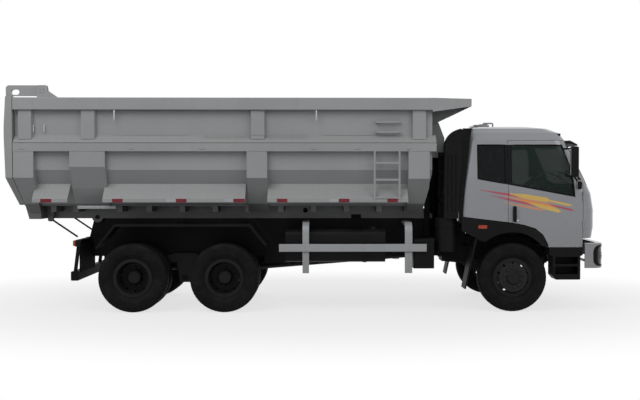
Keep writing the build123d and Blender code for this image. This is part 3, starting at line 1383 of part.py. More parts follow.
with BuildPart() as grille:
    bottom = GRILLE_Z - GRILLE_HEIGHT / 2
    # upright ends, then the bars between them
    extrude(grille_plan(GRILLE_END).moved(Location((0, 0, bottom))), amount=GRILLE_HEIGHT)
    for i in range(GRILLE_BARS):
        z = bottom + i * (GRILLE_HEIGHT - GRILLE_BAR) / (GRILLE_BARS - 1)
        extrude(grille_plan(GRILLE_HALF).moved(Location((0, 0, z))), amount=GRILLE_BAR)
grille.part.label = "grille"
export_step(grille.part, "parts/grille.step")

# ---------------------------------------------------------------- cab floor and furniture
LOW_FLOOR_X = 3640.0
TUNNEL_FRONT = 3900.0
TUNNEL_HALF = 330.0


def bar(start, end, radius):
    """Round bar between two points."""
    run = Vector(*end) - Vector(*start)
    with BuildSketch(Plane(origin=start, z_dir=run)) as end_face:
        Circle(radius)
    extrude(end_face.sketch, amount=run.length)


# the room inside the cab, kept clear of the doors' inner faces
with BuildPart() as cabin_room:
    add(cab_inner)
    for sign in (1, -1):
        with BuildSketch(plan_view(900)):
            with Locations(((DOOR_REAR + DOOR_FRONT) / 2, sign * 1300)):
                Rectangle(DOOR_FRONT - DOOR_REAR + 26, 2 * (1300 - CAB_SECTIONS[0][3] + CAB_WALL + 8))
        extrude(amount=1150, mode=Mode.SUBTRACT)

with BuildPart() as cab_floor:
    high = FLOOR_HIGH - FLOOR_THICKNESS
    low = FLOOR_LOW - FLOOR_THICKNESS
    with BuildSketch(side_view(1300)):
        with BuildLine():
            Polyline((2200, FLOOR_HIGH), (LOW_FLOOR_X - 100, FLOOR_HIGH), (LOW_FLOOR_X, FLOOR_LOW),
                     (4500, FLOOR_LOW),
                     (4500, low), (LOW_FLOOR_X - 27, low), (LOW_FLOOR_X - 127, high), (2200, high),
                     close=True)
        make_face()
    extrude(amount=2600)
    # engine tunnel between the footwells
    with BuildSketch(plan_view(low)):
        with Locations(((LOW_FLOOR_X - 160 + TUNNEL_FRONT) / 2, 0)):
            Rectangle(TUNNEL_FRONT - LOW_FLOOR_X + 160, 2 * TUNNEL_HALF)
    extrude(amount=FLOOR_HIGH - low)
    with BuildSketch(plan_view(low)):
        with Locations(((LOW_FLOOR_X - 260 + TUNNEL_FRONT - FLOOR_THICKNESS) / 2, 0)):
            Rectangle(TUNNEL_FRONT - FLOOR_THICKNESS - LOW_FLOOR_X + 260,
                      2 * (TUNNEL_HALF - FLOOR_THICKNESS))
    extrude(amount=high - low, mode=Mode.SUBTRACT)
    add(cabin_room.part, mode=Mode.INTERSECT)
    # hinge arms under the front edge
    for sign in (1, -1):
        with BuildSketch(side_view(sign * CAB_ARM_Y)):
            with BuildLine():
                Polyline((CAB_PIVOT_X - 260, FLOOR_LOW - FLOOR_THICKNESS + 5),
                         (CAB_PIVOT_X - 38, CAB_PIVOT_Z - 5))
                ThreePointArc((CAB_PIVOT_X - 38, CAB_PIVOT_Z - 5), (CAB_PIVOT_X, CAB_PIVOT_Z - 38),
                              (CAB_PIVOT_X + 38, CAB_PIVOT_Z - 5))
                Polyline((CAB_PIVOT_X + 38, CAB_PIVOT_Z - 5),
                         (CAB_PIVOT_X - 60, FLOOR_LOW - FLOOR_THICKNESS + 5),
                         (CAB_PIVOT_X - 260, FLOOR_LOW - FLOOR_THICKNESS + 5))
            make_face()
            with Locations((CAB_PIVOT_X, CAB_PIVOT_Z)):
                Circle(CAB_PIN_RADIUS + SHAFT_CLEARANCE, mode=Mode.SUBTRACT)
        extrude(amount=CAB_ARM_HALF, both=True)
cab_floor.part.label = "cab_floor"
export_step(cab_floor.part, "parts/cab_floor.step")

WHEEL_CENTRE = (3745.0, 520.0, 1945.0)
COLUMN_DIRECTION = (0.60, 0.0, -0.80)
COLUMN_LENGTH = 330.0
COLUMN_RADIUS = 30.0
column_end = tuple(c + COLUMN_LENGTH * d for c, d in zip(WHEEL_CENTRE, COLUMN_DIRECTION))
with BuildPart() as steering_wheel:
    rim_plane = Plane(origin=WHEEL_CENTRE, z_dir=COLUMN_DIRECTION)
    with BuildSketch(Plane(origin=WHEEL_CENTRE, x_dir=(0, 1, 0), z_dir=(0.80, 0, 0.60))):
        with Locations((228, 0)):
            Circle(16)
    revolve(axis=Axis(WHEEL_CENTRE, COLUMN_DIRECTION))
    with BuildSketch(rim_plane.offset(-8)):
        Rectangle(436, 44)
        Rectangle(44, 436)
        Circle(70)
    extrude(amount=26)
    bar(WHEEL_CENTRE, column_end, COLUMN_RADIUS)
steering_wheel.part.label = "steering_wheel"
export_step(steering_wheel.part, "parts/steering_wheel.step")

DASH_HALF = 1115.0
DASH_FRONT = GRILLE_FACE_X - GRILLE_BOW - GRILLE_DEPTH - DOOR_GAP
with BuildPart() as dashboard:
    with BuildSketch(side_view(DASH_HALF)):
        with BuildLine():
            Polyline((3930, 1480), (3900, 1560), (3880, 1760))
            ThreePointArc((3880, 1760), (3915, 1850), (4010, 1885))
            Polyline((4010, 1885), (DASH_FRONT, 1890), (DASH_FRONT, 1480), (3930, 1480))
        make_face()
    extrude(amount=2 * DASH_HALF)
    add(cabin_room.part, mode=Mode.INTERSECT)
    # hood over the instruments and the column's sleeve
    with BuildSketch(side_view(520)):
        with BuildLine():
            Polyline((3900, 1800), (3880, 1930))
            ThreePointArc((3880, 1930), (3990, 1955), (4100, 1880))
            Line((4100, 1880), (3900, 1800))
        make_face()
    extrude(amount=190, both=True)
    with BuildSketch(Plane(origin=column_end, z_dir=COLUMN_DIRECTION)):
        Circle(COLUMN_RADIUS + SEAT_GAP)
    extrude(amount=-COLUMN_LENGTH, mode=Mode.SUBTRACT)
dashboard.part.label = "dashboard"
export_step(dashboard.part, "parts/dashboard.step")

SEAT_Y = 520.0
SEAT_HALF = 250.0
with BuildPart() as seats:
    for sign in (1, -1):
        with BuildSketch(plan_view(FLOOR_HIGH)):
            with Locations((3170, sign * SEAT_Y)):
                RectangleRounded(380, 360, 30)
        extrude(amount=215)
        with BuildSketch(side_view(sign * SEAT_Y)):
            with BuildLine():
                Polyline((2930, 1600), (3420, 1605), (3455, 1650), (3440, 1730), (3380, 1750), (2985, 1725),
                         (2830, 2330), (2800, 2350), (2830, 2370), (2838, 2560), (2800, 2590), (2740, 2580),
                         (2715, 2380), (2735, 2340), (2700, 2310), (2800, 1690), (2850, 1620), close=True)
            make_face()
            offset(amount=14)
        extrude(amount=SEAT_HALF, both=True)
        # the headrest is narrower than the back
        for edge in (1, -1):
            with BuildSketch(plan_view(2366)):
                with Locations((2770, sign * SEAT_Y + edge * 200)):
                    Rectangle(260, 130)
            extrude(amount=260, mode=Mode.SUBTRACT)
    # bunk behind the seats
    with BuildSketch(side_view(0)):
        with Locations((2505, FLOOR_HIGH + SEAT_GAP + 165)):
            RectangleRounded(230, 330, 40)
    extrude(amount=1050, both=True)
seats.part.label = "seats"
export_step(seats.part, "parts/seats.step")

# ---------------------------------------------------------------- outside the cab
VISOR_HALF = 1035.0
with BuildPart() as sun_visor:
    with BuildSketch(side_view(0)):
        with BuildLine():
            Polyline((3700, 2556), (3960, 2572), (4074, 2512), (4070, 2490), (3960, 2524), (3700, 2500),
                     close=True)
        make_face()
    extrude(amount=VISOR_HALF, both=True)
    add(cab_outer, mode=Mode.SUBTRACT)
sun_visor.part.label = "sun_visor"
export_step(sun_visor.part, "parts/sun_visor.step")

HATCH_TOP = 2850.0
with BuildPart() as roof_hatch:
    with BuildSketch(plan_view(2770)):
        with Locations((HATCH_X, 0)):
            RectangleRounded(HATCH_LENGTH, 560, 40)
    extrude(amount=HATCH_TOP - 2770 - 24)
    with BuildSketch(plan_view(HATCH_TOP - 24)):
        with Locations((HATCH_X - 15, 0)):
            RectangleRounded(HATCH_LENGTH + 40, 600, 50)
    extrude(amount=24, taper=20)
    add(cab_inner, mode=Mode.SUBTRACT)

with BuildPart() as cab_roof:
    add(roof_skin.part)
    add(roof_hatch.part)
cab_roof.part.label = "cab_roof"
export_step(cab_roof.part, "parts/cab_roof.step")

# ---------------------------------------------------------------- doors
MIRROR_Y = 1340.0
MIRROR_DEPTH = 70.0
HANDLE_X = 3088.0
for side, sign in SIDES:
    doors[side].part.label = f"door_{side}"
    export_step(doors[side].part, f"parts/door_{side}.step")
    door_panes[side].part.label = f"door_glass_{side}"
    export_step(door_panes[side].part, f"parts/door_glass_{side}.step")
    with BuildPart() as door_fittings:
        # main mirror and the small one below it
        for x, z, width, height in ((3943.0, 2245.0, 122.0, 456.0), (4015.0, 1898.0, 74.0, 118.0)):
            with BuildSketch(side_view(sign * MIRROR_Y)):
                with Locations((x, z)):
                    RectangleRounded(width, height, 26)
            extrude(amount=MIRROR_DEPTH / 2, both=True, taper=8)
        # arms to the window frame and to the belt line
        bar((3820, sign * 1120, 2440), (3900, sign * (MIRROR_Y - 20), 2440), 13)
        bar((3930, sign * (MIRROR_Y - 20), 2060), (4000, sign * MIRROR_Y, 1930), 13)
        bar((4075, sign * 1180, 1985), (3975, sign * (MIRROR_Y - 20), 2055), 13)
        bar((4085, sign * 1180, 1850), (4020, sign * (MIRROR_Y - 10), 1870), 11)
        # grab handle beside the rear edge of the door
        with BuildSketch(side_view(sign * (CAB_HALF_WIDTH + 12))):
            with Locations((HANDLE_X, 1467)):
                RectangleRounded(46, 238, 20)
        extrude(amount=30, both=True)
        add(doors[side].part, mode=Mode.SUBTRACT)
        add(cab_inner, mode=Mode.SUBTRACT)
        add(glass_skin, mode=Mode.SUBTRACT)
    door_fittings.part.label = f"door_fittings_{side}"
    export_step(door_fittings.part, f"parts/door_fittings_{side}.step")

# ---------------------------------------------------------------- bed floor
TAIL_X = -4219.0
BED_BEAM_FRONT = 1949.0
WELL_HALF = 115.0            # half width of the recess for the hoist cylinder
WELL_BACK_X = 1618.0
LUG_RADIUS = 84.0
CROSSBAR_BOTTOM = 1490.0
LATCH_X = -3990.0
LATCH_Z = 1370.0
LATCH_Y = 560.0
LATCH_PIN_RADIUS = 14.0
# lower front edge of the bed: the front wall leans back below the bend
FRONT_FOOT_X = 1740.0
CROSSBARS = (-3900.0, -3560.0, -2900.0, -2450.0, -1950.0, -1450.0, -950.0, -450.0, 50.0, 550.0, 1050.0,
             1480.0)

with BuildPart() as bed_floor:
    with BuildSketch(plan_view(FLOOR_TOP - FLOOR_PLATE)):
        with Locations(((BED_REAR + 60 + FRONT_FOOT_X) / 2, 0)):
            Rectangle(FRONT_FOOT_X - BED_REAR - 60, 2 * FLOOR_HALF_WIDTH)
        with Locations(((WELL_BACK_X + FRONT_FOOT_X + 10) / 2, 0)):
            Rectangle(FRONT_FOOT_X - WELL_BACK_X + 10, 2 * WELL_HALF, mode=Mode.SUBTRACT)
    extrude(amount=FLOOR_PLATE)
    for sign in (1, -1):
        # long beam with its round hole, square notch and hinge lug
        with BuildSketch(side_view(sign * (BEAM_OUTER_Y - BEAM_WIDTH / 2))):
            with BuildLine():
                Polyline(
                    (TAIL_X, BEAM_BOTTOM),
                    (BED_BEAM_FRONT, BEAM_BOTTOM),
                    (BED_BEAM_FRONT, BEAM_BOTTOM + 60),
                    (FRONT_FOOT_X, FLOOR_TOP - FLOOR_PLATE),
                    (TAIL_X - 60, FLOOR_TOP - FLOOR_PLATE),
                    close=True,
                )
            make_face()
            with Locations((HINGE_X, HINGE_Z)):
                Circle(LUG_RADIUS)
            with Locations((-42, 1500)):
                Circle(38, mode=Mode.SUBTRACT)
            with Locations((752, BEAM_BOTTOM + 30)):
                Rectangle(158, 62, mode=Mode.SUBTRACT)
            with Locations((HINGE_X, HINGE_Z)):
                Circle(HINGE_PIN_RADIUS + SHAFT_CLEARANCE, mode=Mode.SUBTRACT)
        extrude(amount=BEAM_WIDTH / 2, both=True)
    for x in CROSSBARS:
        with BuildSketch(front_view(x)):
            with Locations((0, (CROSSBAR_BOTTOM + FLOOR_TOP - FLOOR_PLATE) / 2)):
                Rectangle(2 * 850, FLOOR_TOP - FLOOR_PLATE - CROSSBAR_BOTTOM)
        extrude(amount=80)
    # raked member across the tail
    with BuildSketch(side_view(880)):
        with BuildLine():
            Polyline((TAIL_X, 1382), (TAIL_X + 180, 1382), (TAIL_X + 180, FLOOR_TOP - FLOOR_PLATE),
                     (TAIL_X - 56, FLOOR_TOP - FLOOR_PLATE), close=True)
        make_face()
    extrude(amount=1760)
    # lugs that carry the tailgate latch rods
    for sign in (1, -1):
        for offset in (-1, 1):
            with BuildSketch(side_view(sign * LATCH_Y + offset * 26)):
                with BuildLine():
                    Polyline((LATCH_X - 60, 1500), (LATCH_X - 34, LATCH_Z - 34),
                             (LATCH_X + 34, LATCH_Z - 34),
                             (LATCH_X + 60, 1500), close=True)
                make_face()
            extrude(amount=6, both=True)
        with BuildSketch(plan_view(1480)):
            with Locations((LATCH_X, sign * LATCH_Y)):
                Rectangle(120, 64)
        extrude(amount=FLOOR_TOP - FLOOR_PLATE - 1480)
        with BuildSketch(side_view(sign * LATCH_Y)):
            with Locations((LATCH_X, LATCH_Z)):
                Circle(LATCH_PIN_RADIUS)
        extrude(amount=32, both=True)
bed_floor.part.label = "bed_floor"
export_step(bed_floor.part, "parts/bed_floor.step")

# ---------------------------------------------------------------- bed side walls
WALL_FOOT_Y = FLOOR_HALF_WIDTH
POST_FACE_Y = 1245.0
SHELF_EDGE_Y = 1240.0
SHELF_ROOT_Y = 1053.0
SHELF_ROOT_Z = 1917.0
SHELF_EDGE_Z = 1697.0
SHELF_LIP_Z = 1645.0
SHELF_THICKNESS = 9.0
MID_RAIL_FRONT = 1916.0
UPPER_POST_Y = 1214.0
# upper posts: rear x, front x
UPPER_POSTS = ((-4263.0, -4073.0), (-3340.0, -3142.0), (-834.0, -635.0), (1567.0, 1760.0))
# lower posts: rear x, front x, bottom of the upright face, knee y, knee z, foot y, foot z
LOWER_POSTS = (
    (BED_REAR, -4035.0, 2010.0, 905.0, 1490.0, 880.0, 1490.0),
    (-3507.0, -2986.0, 2170.0, 1090.0, 1850.0, 900.0, 1541.0),
    (-896.0, -593.0, 2006.0, 905.0, 1535.0, 880.0, 1500.0),
    (1501.0, 1817.0, 1995.0, 905.0, 1490.0, 880.0, 1490.0),
)
# deflector shelves between the posts: rear x, front x
SHELVES = ((-4062.0, -3541.0), (-3026.0, -922.0), (-591.0, 1498.0))
CANOPY_TIP = 2434.0
CANOPY_TIP_TOP = 3176.0
CANOPY_TIP_BOTTOM = 3066.0
GATE_CHEEK = 18.0
GATE_CHEEKS = (1220.0, 1136.0)      # inner faces of the two hinge cheeks
GATE_PIN_RADIUS = 22.0
LADDER_REAR = 984.0
LADDER_FRONT = 1383.0
LADDER_BOTTOM = 1715.0
LADDER_BAR = 30.0
LADDER_RUNGS = (1715.0, 1980.0, 2230.0)
WALL_STEPS = (2688.0, 2836.0)
REAR_EDGE_FOOT = (-4245.0, 1600.0)
FRONT_EDGE_FOOT = (FRONT_FOOT_X, 1490.0)

with BuildPart() as bed_wall:
    # wall plate: upright, then leaning in to the floor
    with BuildSketch(front_view(BED_REAR)):
        with BuildLine():
            Polyline(
                (-WALL_OUTER_Y, TOP_RAIL_TOP - 4),
                (-WALL_OUTER_Y, WALL_BEND_Z),
                (-WALL_FOOT_Y, FLOOR_TOP),
                (-WALL_FOOT_Y + WALL_THICKNESS + 4, FLOOR_TOP),
                (-WALL_OUTER_Y + WALL_THICKNESS, WALL_BEND_Z + 8),
                (-WALL_OUTER_Y + WALL_THICKNESS, TOP_RAIL_TOP - 4),
                close=True,
            )
        make_face()
    extrude(amount=BED_FRONT - BED_REAR)
    # top rail
    with BuildSketch(front_view(BED_REAR)):
        with Locations((-BED_HALF_WIDTH + TOP_RAIL_WIDTH / 2, (TOP_RAIL_BOTTOM + TOP_RAIL_TOP) / 2)):
            RectangleRounded(TOP_RAIL_WIDTH, TOP_RAIL_TOP - TOP_RAIL_BOTTOM, 12)
    extrude(amount=BED_FRONT - BED_REAR)
    # mid rail: upright face, groove, then a slope back to the wall
    with BuildSketch(front_view(BED_REAR)):
        with BuildLine():
            Polyline(
                (-WALL_OUTER_Y, MID_RAIL_BOTTOM),
                (-BED_HALF_WIDTH, MID_RAIL_BOTTOM),
                (-BED_HALF_WIDTH, MID_RAIL_GROOVE),
                (-BED_HALF_WIDTH + 9, MID_RAIL_GROOVE),
                (-BED_HALF_WIDTH + 9, MID_RAIL_GROOVE + 9),
                (-BED_HALF_WIDTH + 2, MID_RAIL_GROOVE + 14),
                (-WALL_OUTER_Y, MID_RAIL_TOP),
                close=True,
            )
        make_face()
    extrude(amount=MID_RAIL_FRONT - BED_REAR)
    # upper posts
    for rear, front in UPPER_POSTS:
        with BuildSketch(plan_view(MID_RAIL_TOP - 60)):
            with BuildLine():
                Polyline((rear - 14, -WALL_OUTER_Y), (rear, -UPPER_POST_Y), (front, -UPPER_POST_Y),
                         (front + 26, -WALL_OUTER_Y), close=True)
            make_face()
        extrude(amount=TOP_RAIL_BOTTOM + 12 - MID_RAIL_TOP + 60)
    # lower posts
    for rear, front, face_z, knee_y, knee_z, foot_y, foot_z in LOWER_POSTS:
        with BuildSketch(front_view(rear)):
            with BuildLine():
                Polyline((-WALL_OUTER_Y, MID_RAIL_BOTTOM + 4), (-POST_FACE_Y, MID_RAIL_BOTTOM + 4),
                         (-POST_FACE_Y, face_z), (-knee_y, knee_z), (-foot_y, foot_z),
                         (-foot_y, FLOOR_TOP - FLOOR_PLATE), (-WALL_FOOT_Y, FLOOR_TOP - FLOOR_PLATE),
                         (-WALL_FOOT_Y, FLOOR_TOP), (-WALL_OUTER_Y, WALL_BEND_Z), close=True)
            make_face()
        extrude(amount=front - rear)
    # deflector shelves
    for rear, front in SHELVES:
        with BuildSketch(front_view(rear)):
            with BuildLine():
                Polyline((-SHELF_ROOT_Y + 12, SHELF_ROOT_Z), (-SHELF_ROOT_Y, SHELF_ROOT_Z),
                         (-SHELF_EDGE_Y, SHELF_EDGE_Z), (-SHELF_EDGE_Y, SHELF_LIP_Z),
                         (-SHELF_EDGE_Y + SHELF_THICKNESS, SHELF_LIP_Z),
                         (-SHELF_EDGE_Y + SHELF_THICKNESS, SHELF_EDGE_Z - 4),
                         (-SHELF_ROOT_Y + 8, SHELF_ROOT_Z - SHELF_THICKNESS - 8),
                         close=True)
            make_face()
        extrude(amount=front - rear)
    # trim the raked rear and front edges of the lower wall
    rear_trim = side_prism(((BED_REAR - 100, 1300), (BED_REAR - 100, 2009), (BED_REAR, 2009),
                            REAR_EDGE_FOOT,
                            (REAR_EDGE_FOOT[0] + 60, 1470), (REAR_EDGE_FOOT[0] + 60, 1300)), -800, -1300)
    add(rear_trim, mode=Mode.SUBTRACT)
    front_trim = side_prism(((BED_FRONT + 100, 1300), (BED_FRONT + 100, 2060), (BED_FRONT, 2060),
                             FRONT_EDGE_FOOT,
                             (FRONT_EDGE_FOOT[0], 1300)), -800, -1300)
    add(front_trim, mode=Mode.SUBTRACT)
    # cab guard wing beside the canopy
    with BuildSketch(side_view(-BED_HALF_WIDTH + 14)):
        with BuildLine():
            Polyline((BED_FRONT - 5, TOP_RAIL_TOP), (CANOPY_TIP, CANOPY_TIP_TOP),
                     (CANOPY_TIP, CANOPY_TIP_BOTTOM),
                     (BED_FRONT - 5, TOP_RAIL_BOTTOM - 22), close=True)
        make_face()
    extrude(amount=14)
    # hinge cheeks for the tailgate, with the strut in front of them
    for y in GATE_CHEEKS:
        with BuildSketch(side_view(-y)):
            with BuildLine():
                Polyline((GATE_HINGE_X - 70, TOP_RAIL_TOP - 6), (GATE_HINGE_X - 70, 3340),
                         (GATE_HINGE_X - 40, 3371),
                         (GATE_HINGE_X + 62, 3371), (GATE_HINGE_X + 76, 3290), (GATE_HINGE_X + 110, 3268),
                         (GATE_HINGE_X + 230, TOP_RAIL_TOP - 6), close=True)
            make_face()
        extrude(amount=GATE_CHEEK)
    with BuildSketch(side_view(-GATE_CHEEKS[1])):
        with Locations((GATE_HINGE_X, GATE_HINGE_Z)):
            Circle(GATE_PIN_RADIUS)
    extrude(amount=GATE_CHEEKS[0] + GATE_CHEEK - GATE_CHEEKS[1])

bed_side_left = bed_wall.part.mirror(Plane.XZ)
bed_side_left.label = "bed_side_left"
export_step(bed_side_left, "parts/bed_side_left.step")

# the ladder and the steps above it are on the right-hand wall only
with BuildPart() as bed_side_right:
    add(bed_wall.part)
    for x in (LADDER_REAR + LADDER_BAR / 2, LADDER_FRONT - LADDER_BAR / 2):
        with BuildSketch(plan_view(LADDER_BOTTOM - 30)):
            with Locations((x, -BED_HALF_WIDTH + LADDER_BAR / 2)):
                RectangleRounded(LADDER_BAR, LADDER_BAR, 6)
        extrude(amount=MID_RAIL_BOTTOM + 4 - LADDER_BOTTOM + 30)
    for z in LADDER_RUNGS:
        with BuildSketch(side_view(-BED_HALF_WIDTH + LADDER_BAR)):
            with Locations(((LADDER_REAR + LADDER_FRONT) / 2, z)):
                Rectangle(LADDER_FRONT - LADDER_REAR, LADDER_BAR)
        extrude(amount=LADDER_BAR)
    for z in WALL_STEPS:
        with BuildSketch(side_view(-UPPER_POST_Y + 26)):
            with Locations(((LADDER_REAR + LADDER_FRONT) / 2 + 14, z)):
                Rectangle(LADDER_FRONT - LADDER_REAR - 28, 28)
        extrude(amount=26)
        with BuildSketch(side_view(-WALL_OUTER_Y + 2)):
            with Locations((LADDER_REAR + 42, z), (LADDER_FRONT - 14, z)):
                Rectangle(28, 28)
        extrude(amount=UPPER_POST_Y - WALL_OUTER_Y)
bed_side_right.part.label = "bed_side_right"
export_step(bed_side_right.part, "parts/bed_side_right.step")

# ---------------------------------------------------------------- bed front wall
FRONT_BEND_Z = 2060.0
WELL_TOP_Z = 2240.0
WELL_PLATE = 8.0
WELL_FOOT_X = 1590.0
CANOPY_HALF = 1235.5
CANOPY_PLATE = 10.0
RIB_Y = (400.0, -400.0)
HOUSING_HALF = 200.0
HOUSING_PLATE = 8.0
HOUSING_FRONT = 2175.0
HOUSING_BOTTOM = 2330.0
HOUSING_TOP = 2900.0
FORK_INNER_Y = 64.0
FORK_PLATE = 20.0
wall_half = WALL_OUTER_Y - WALL_THICKNESS - SEAT_GAP
rail_half = BED_HALF_WIDTH - TOP_RAIL_WIDTH - SEAT_GAP
foot_half = WALL_FOOT_Y - WALL_THICKNESS - 4 - SEAT_GAP

with BuildPart() as bed_front:
    # end plate: upright above, leaning back below the bend
    with BuildSketch(side_view(wall_half)):
        with BuildLine():
            Polyline(
                (BED_FRONT, TOP_RAIL_TOP - 4),
                (BED_FRONT, FRONT_BEND_Z),
                (FRONT_FOOT_X + 25, FLOOR_TOP),
                (FRONT_FOOT_X - 18, FLOOR_TOP),
                (BED_FRONT - WALL_THICKNESS, FRONT_BEND_Z + 8),
                (BED_FRONT - WALL_THICKNESS, TOP_RAIL_TOP - 4),
                close=True,
            )
        make_face()
    extrude(amount=2 * wall_half)
    with BuildSketch(front_view(FRONT_FOOT_X - 60)):
        with BuildLine():
            Polyline(
                (-rail_half, TOP_RAIL_TOP),
                (-rail_half, TOP_RAIL_BOTTOM - SEAT_GAP),
                (-wall_half, TOP_RAIL_BOTTOM - SEAT_GAP),
                (-wall_half, WALL_BEND_Z + 8),
                (-foot_half, FLOOR_TOP),
                (foot_half, FLOOR_TOP),
                (wall_half, WALL_BEND_Z + 8),
                (wall_half, TOP_RAIL_BOTTOM - SEAT_GAP),
                (rail_half, TOP_RAIL_BOTTOM - SEAT_GAP),
                (rail_half, TOP_RAIL_TOP),
                close=True,
            )
        make_face()
    extrude(amount=BED_FRONT - FRONT_FOOT_X + 80, mode=Mode.INTERSECT)
    # opening for the cylinder and the sloping cover over it inside the bed
    well_line = ((BED_FRONT + 20, WELL_TOP_Z), (BED_FRONT - 10, WELL_TOP_Z), (WELL_FOOT_X, FLOOR_TOP),
                 (BED_FRONT + 20, FLOOR_TOP))
    with BuildSketch(side_view(WELL_HALF + WELL_PLATE)):
        with BuildLine():
            Polyline((BED_FRONT - 2, WELL_TOP_Z + WELL_PLATE), (BED_FRONT - 12, WELL_TOP_Z + WELL_PLATE),
                     (WELL_FOOT_X - WELL_PLATE, FLOOR_TOP), (FRONT_FOOT_X + 20, FLOOR_TOP), close=True)
        make_face()
    extrude(amount=2 * (WELL_HALF + WELL_PLATE))
    with BuildSketch(side_view(WELL_HALF)):
        with BuildLine():
            Polyline(*well_line, close=True)
        make_face()
    extrude(amount=2 * WELL_HALF, mode=Mode.SUBTRACT)
    # top rail across the front
    with BuildSketch(plan_view(TOP_RAIL_BOTTOM)):
        with Locations((BED_FRONT + 25, 0)):
            Rectangle(50, 2 * rail_half)
    extrude(amount=TOP_RAIL_TOP - TOP_RAIL_BOTTOM)
    # canopy over the cab, with its front lip and two ribs
    with BuildSketch(side_view(CANOPY_HALF)):
        with BuildLine():
            Polyline(
                (BED_FRONT - 5, TOP_RAIL_TOP),
                (CANOPY_TIP, CANOPY_TIP_TOP),
                (CANOPY_TIP, CANOPY_TIP_BOTTOM),
                (CANOPY_TIP - CANOPY_PLATE, CANOPY_TIP_BOTTOM),
                (CANOPY_TIP - CANOPY_PLATE, CANOPY_TIP_TOP - CANOPY_PLATE),
                (BED_FRONT + SEAT_GAP, TOP_RAIL_TOP - CANOPY_PLATE),
                (BED_FRONT + SEAT_GAP, TOP_RAIL_TOP - 5),
                (BED_FRONT - 5, TOP_RAIL_TOP - 5),
                close=True,
            )
        make_face()
    extrude(amount=2 * CANOPY_HALF)
    with BuildSketch(plan_view(TOP_RAIL_TOP - 60)):
        with Locations((BED_FRONT - 60, 0)):
            Rectangle(120.0 + 2 * SEAT_GAP, 2 * CANOPY_HALF + 10)
        with Locations((BED_FRONT - 60, 0)):
            Rectangle(121, 2 * rail_half, mode=Mode.SUBTRACT)
    extrude(amount=100, mode=Mode.SUBTRACT)
    for y in RIB_Y:
        with BuildSketch(side_view(y)):
            with BuildLine():
                Polyline((BED_FRONT - 10, 3180), (CANOPY_TIP - 5, CANOPY_TIP_TOP - 5),
                         (CANOPY_TIP - 5, CANOPY_TIP_BOTTOM), (2080, 2900), (BED_FRONT - 10, 2880),
                         close=True)
            make_face()
        extrude(amount=6, both=True)
    # nose that houses the head of the cylinder, open below
    nose_line = ((BED_FRONT - 10, HOUSING_TOP), (2080, HOUSING_TOP - 10), (HOUSING_FRONT, 2640),
                 (HOUSING_FRONT, 2480), (HOUSING_FRONT - 40, HOUSING_BOTTOM),
                 (BED_FRONT - 10, HOUSING_BOTTOM))
    with BuildSketch(side_view(HOUSING_HALF)):
        with BuildLine():
            Polyline(*nose_line, close=True)
        make_face()
    extrude(amount=2 * HOUSING_HALF)
    with BuildSketch(side_view(HOUSING_HALF - HOUSING_PLATE)):
        with BuildLine():
            Polyline((BED_FRONT, HOUSING_TOP - 16), (2072, HOUSING_TOP - 26), (HOUSING_FRONT - 8, 2632),
                     (HOUSING_FRONT - 8, 2482), (HOUSING_FRONT - 50, HOUSING_BOTTOM - 10),
                     (BED_FRONT, HOUSING_BOTTOM - 10), close=True)
        make_face()
    extrude(amount=2 * (HOUSING_HALF - HOUSING_PLATE), mode=Mode.SUBTRACT)
    # fork cheeks either side of the rod's eye
    for y in (FORK_INNER_Y + FORK_PLATE, -FORK_INNER_Y):
        with BuildSketch(side_view(y)):
            with BuildLine():
                Polyline((BED_FRONT - 2, HOIST_EYE_Z + 150), (HOIST_X + 60, HOIST_EYE_Z + 90),
                         (HOIST_X + 70, HOIST_EYE_Z - 40), (BED_FRONT - 2, HOIST_EYE_Z - 40), close=True)
            make_face()
        extrude(amount=FORK_PLATE)
bed_front.part.label = "bed_front"
export_step(bed_front.part, "parts/bed_front.step")

# ---------------------------------------------------------------- tailgate
GATE_OUTER = -4465.0
GATE_TOP = 3206.0
GATE_PLATE = 16.0
GATE_ARM_Y = 1170.0
GATE_ARM_WIDTH = 40.0
# rear pockets between the horizontal ribs: bottom, top
GATE_POCKETS = ((1700.0, 1960.0), (2080.0, 2330.0), (2390.0, 2640.0), (2700.0, 2900.0), (2960.0, 3140.0))
GATE_COLUMNS = (-780.0, 0.0, 780.0)
GATE_POCKET_WIDTH = 700.0

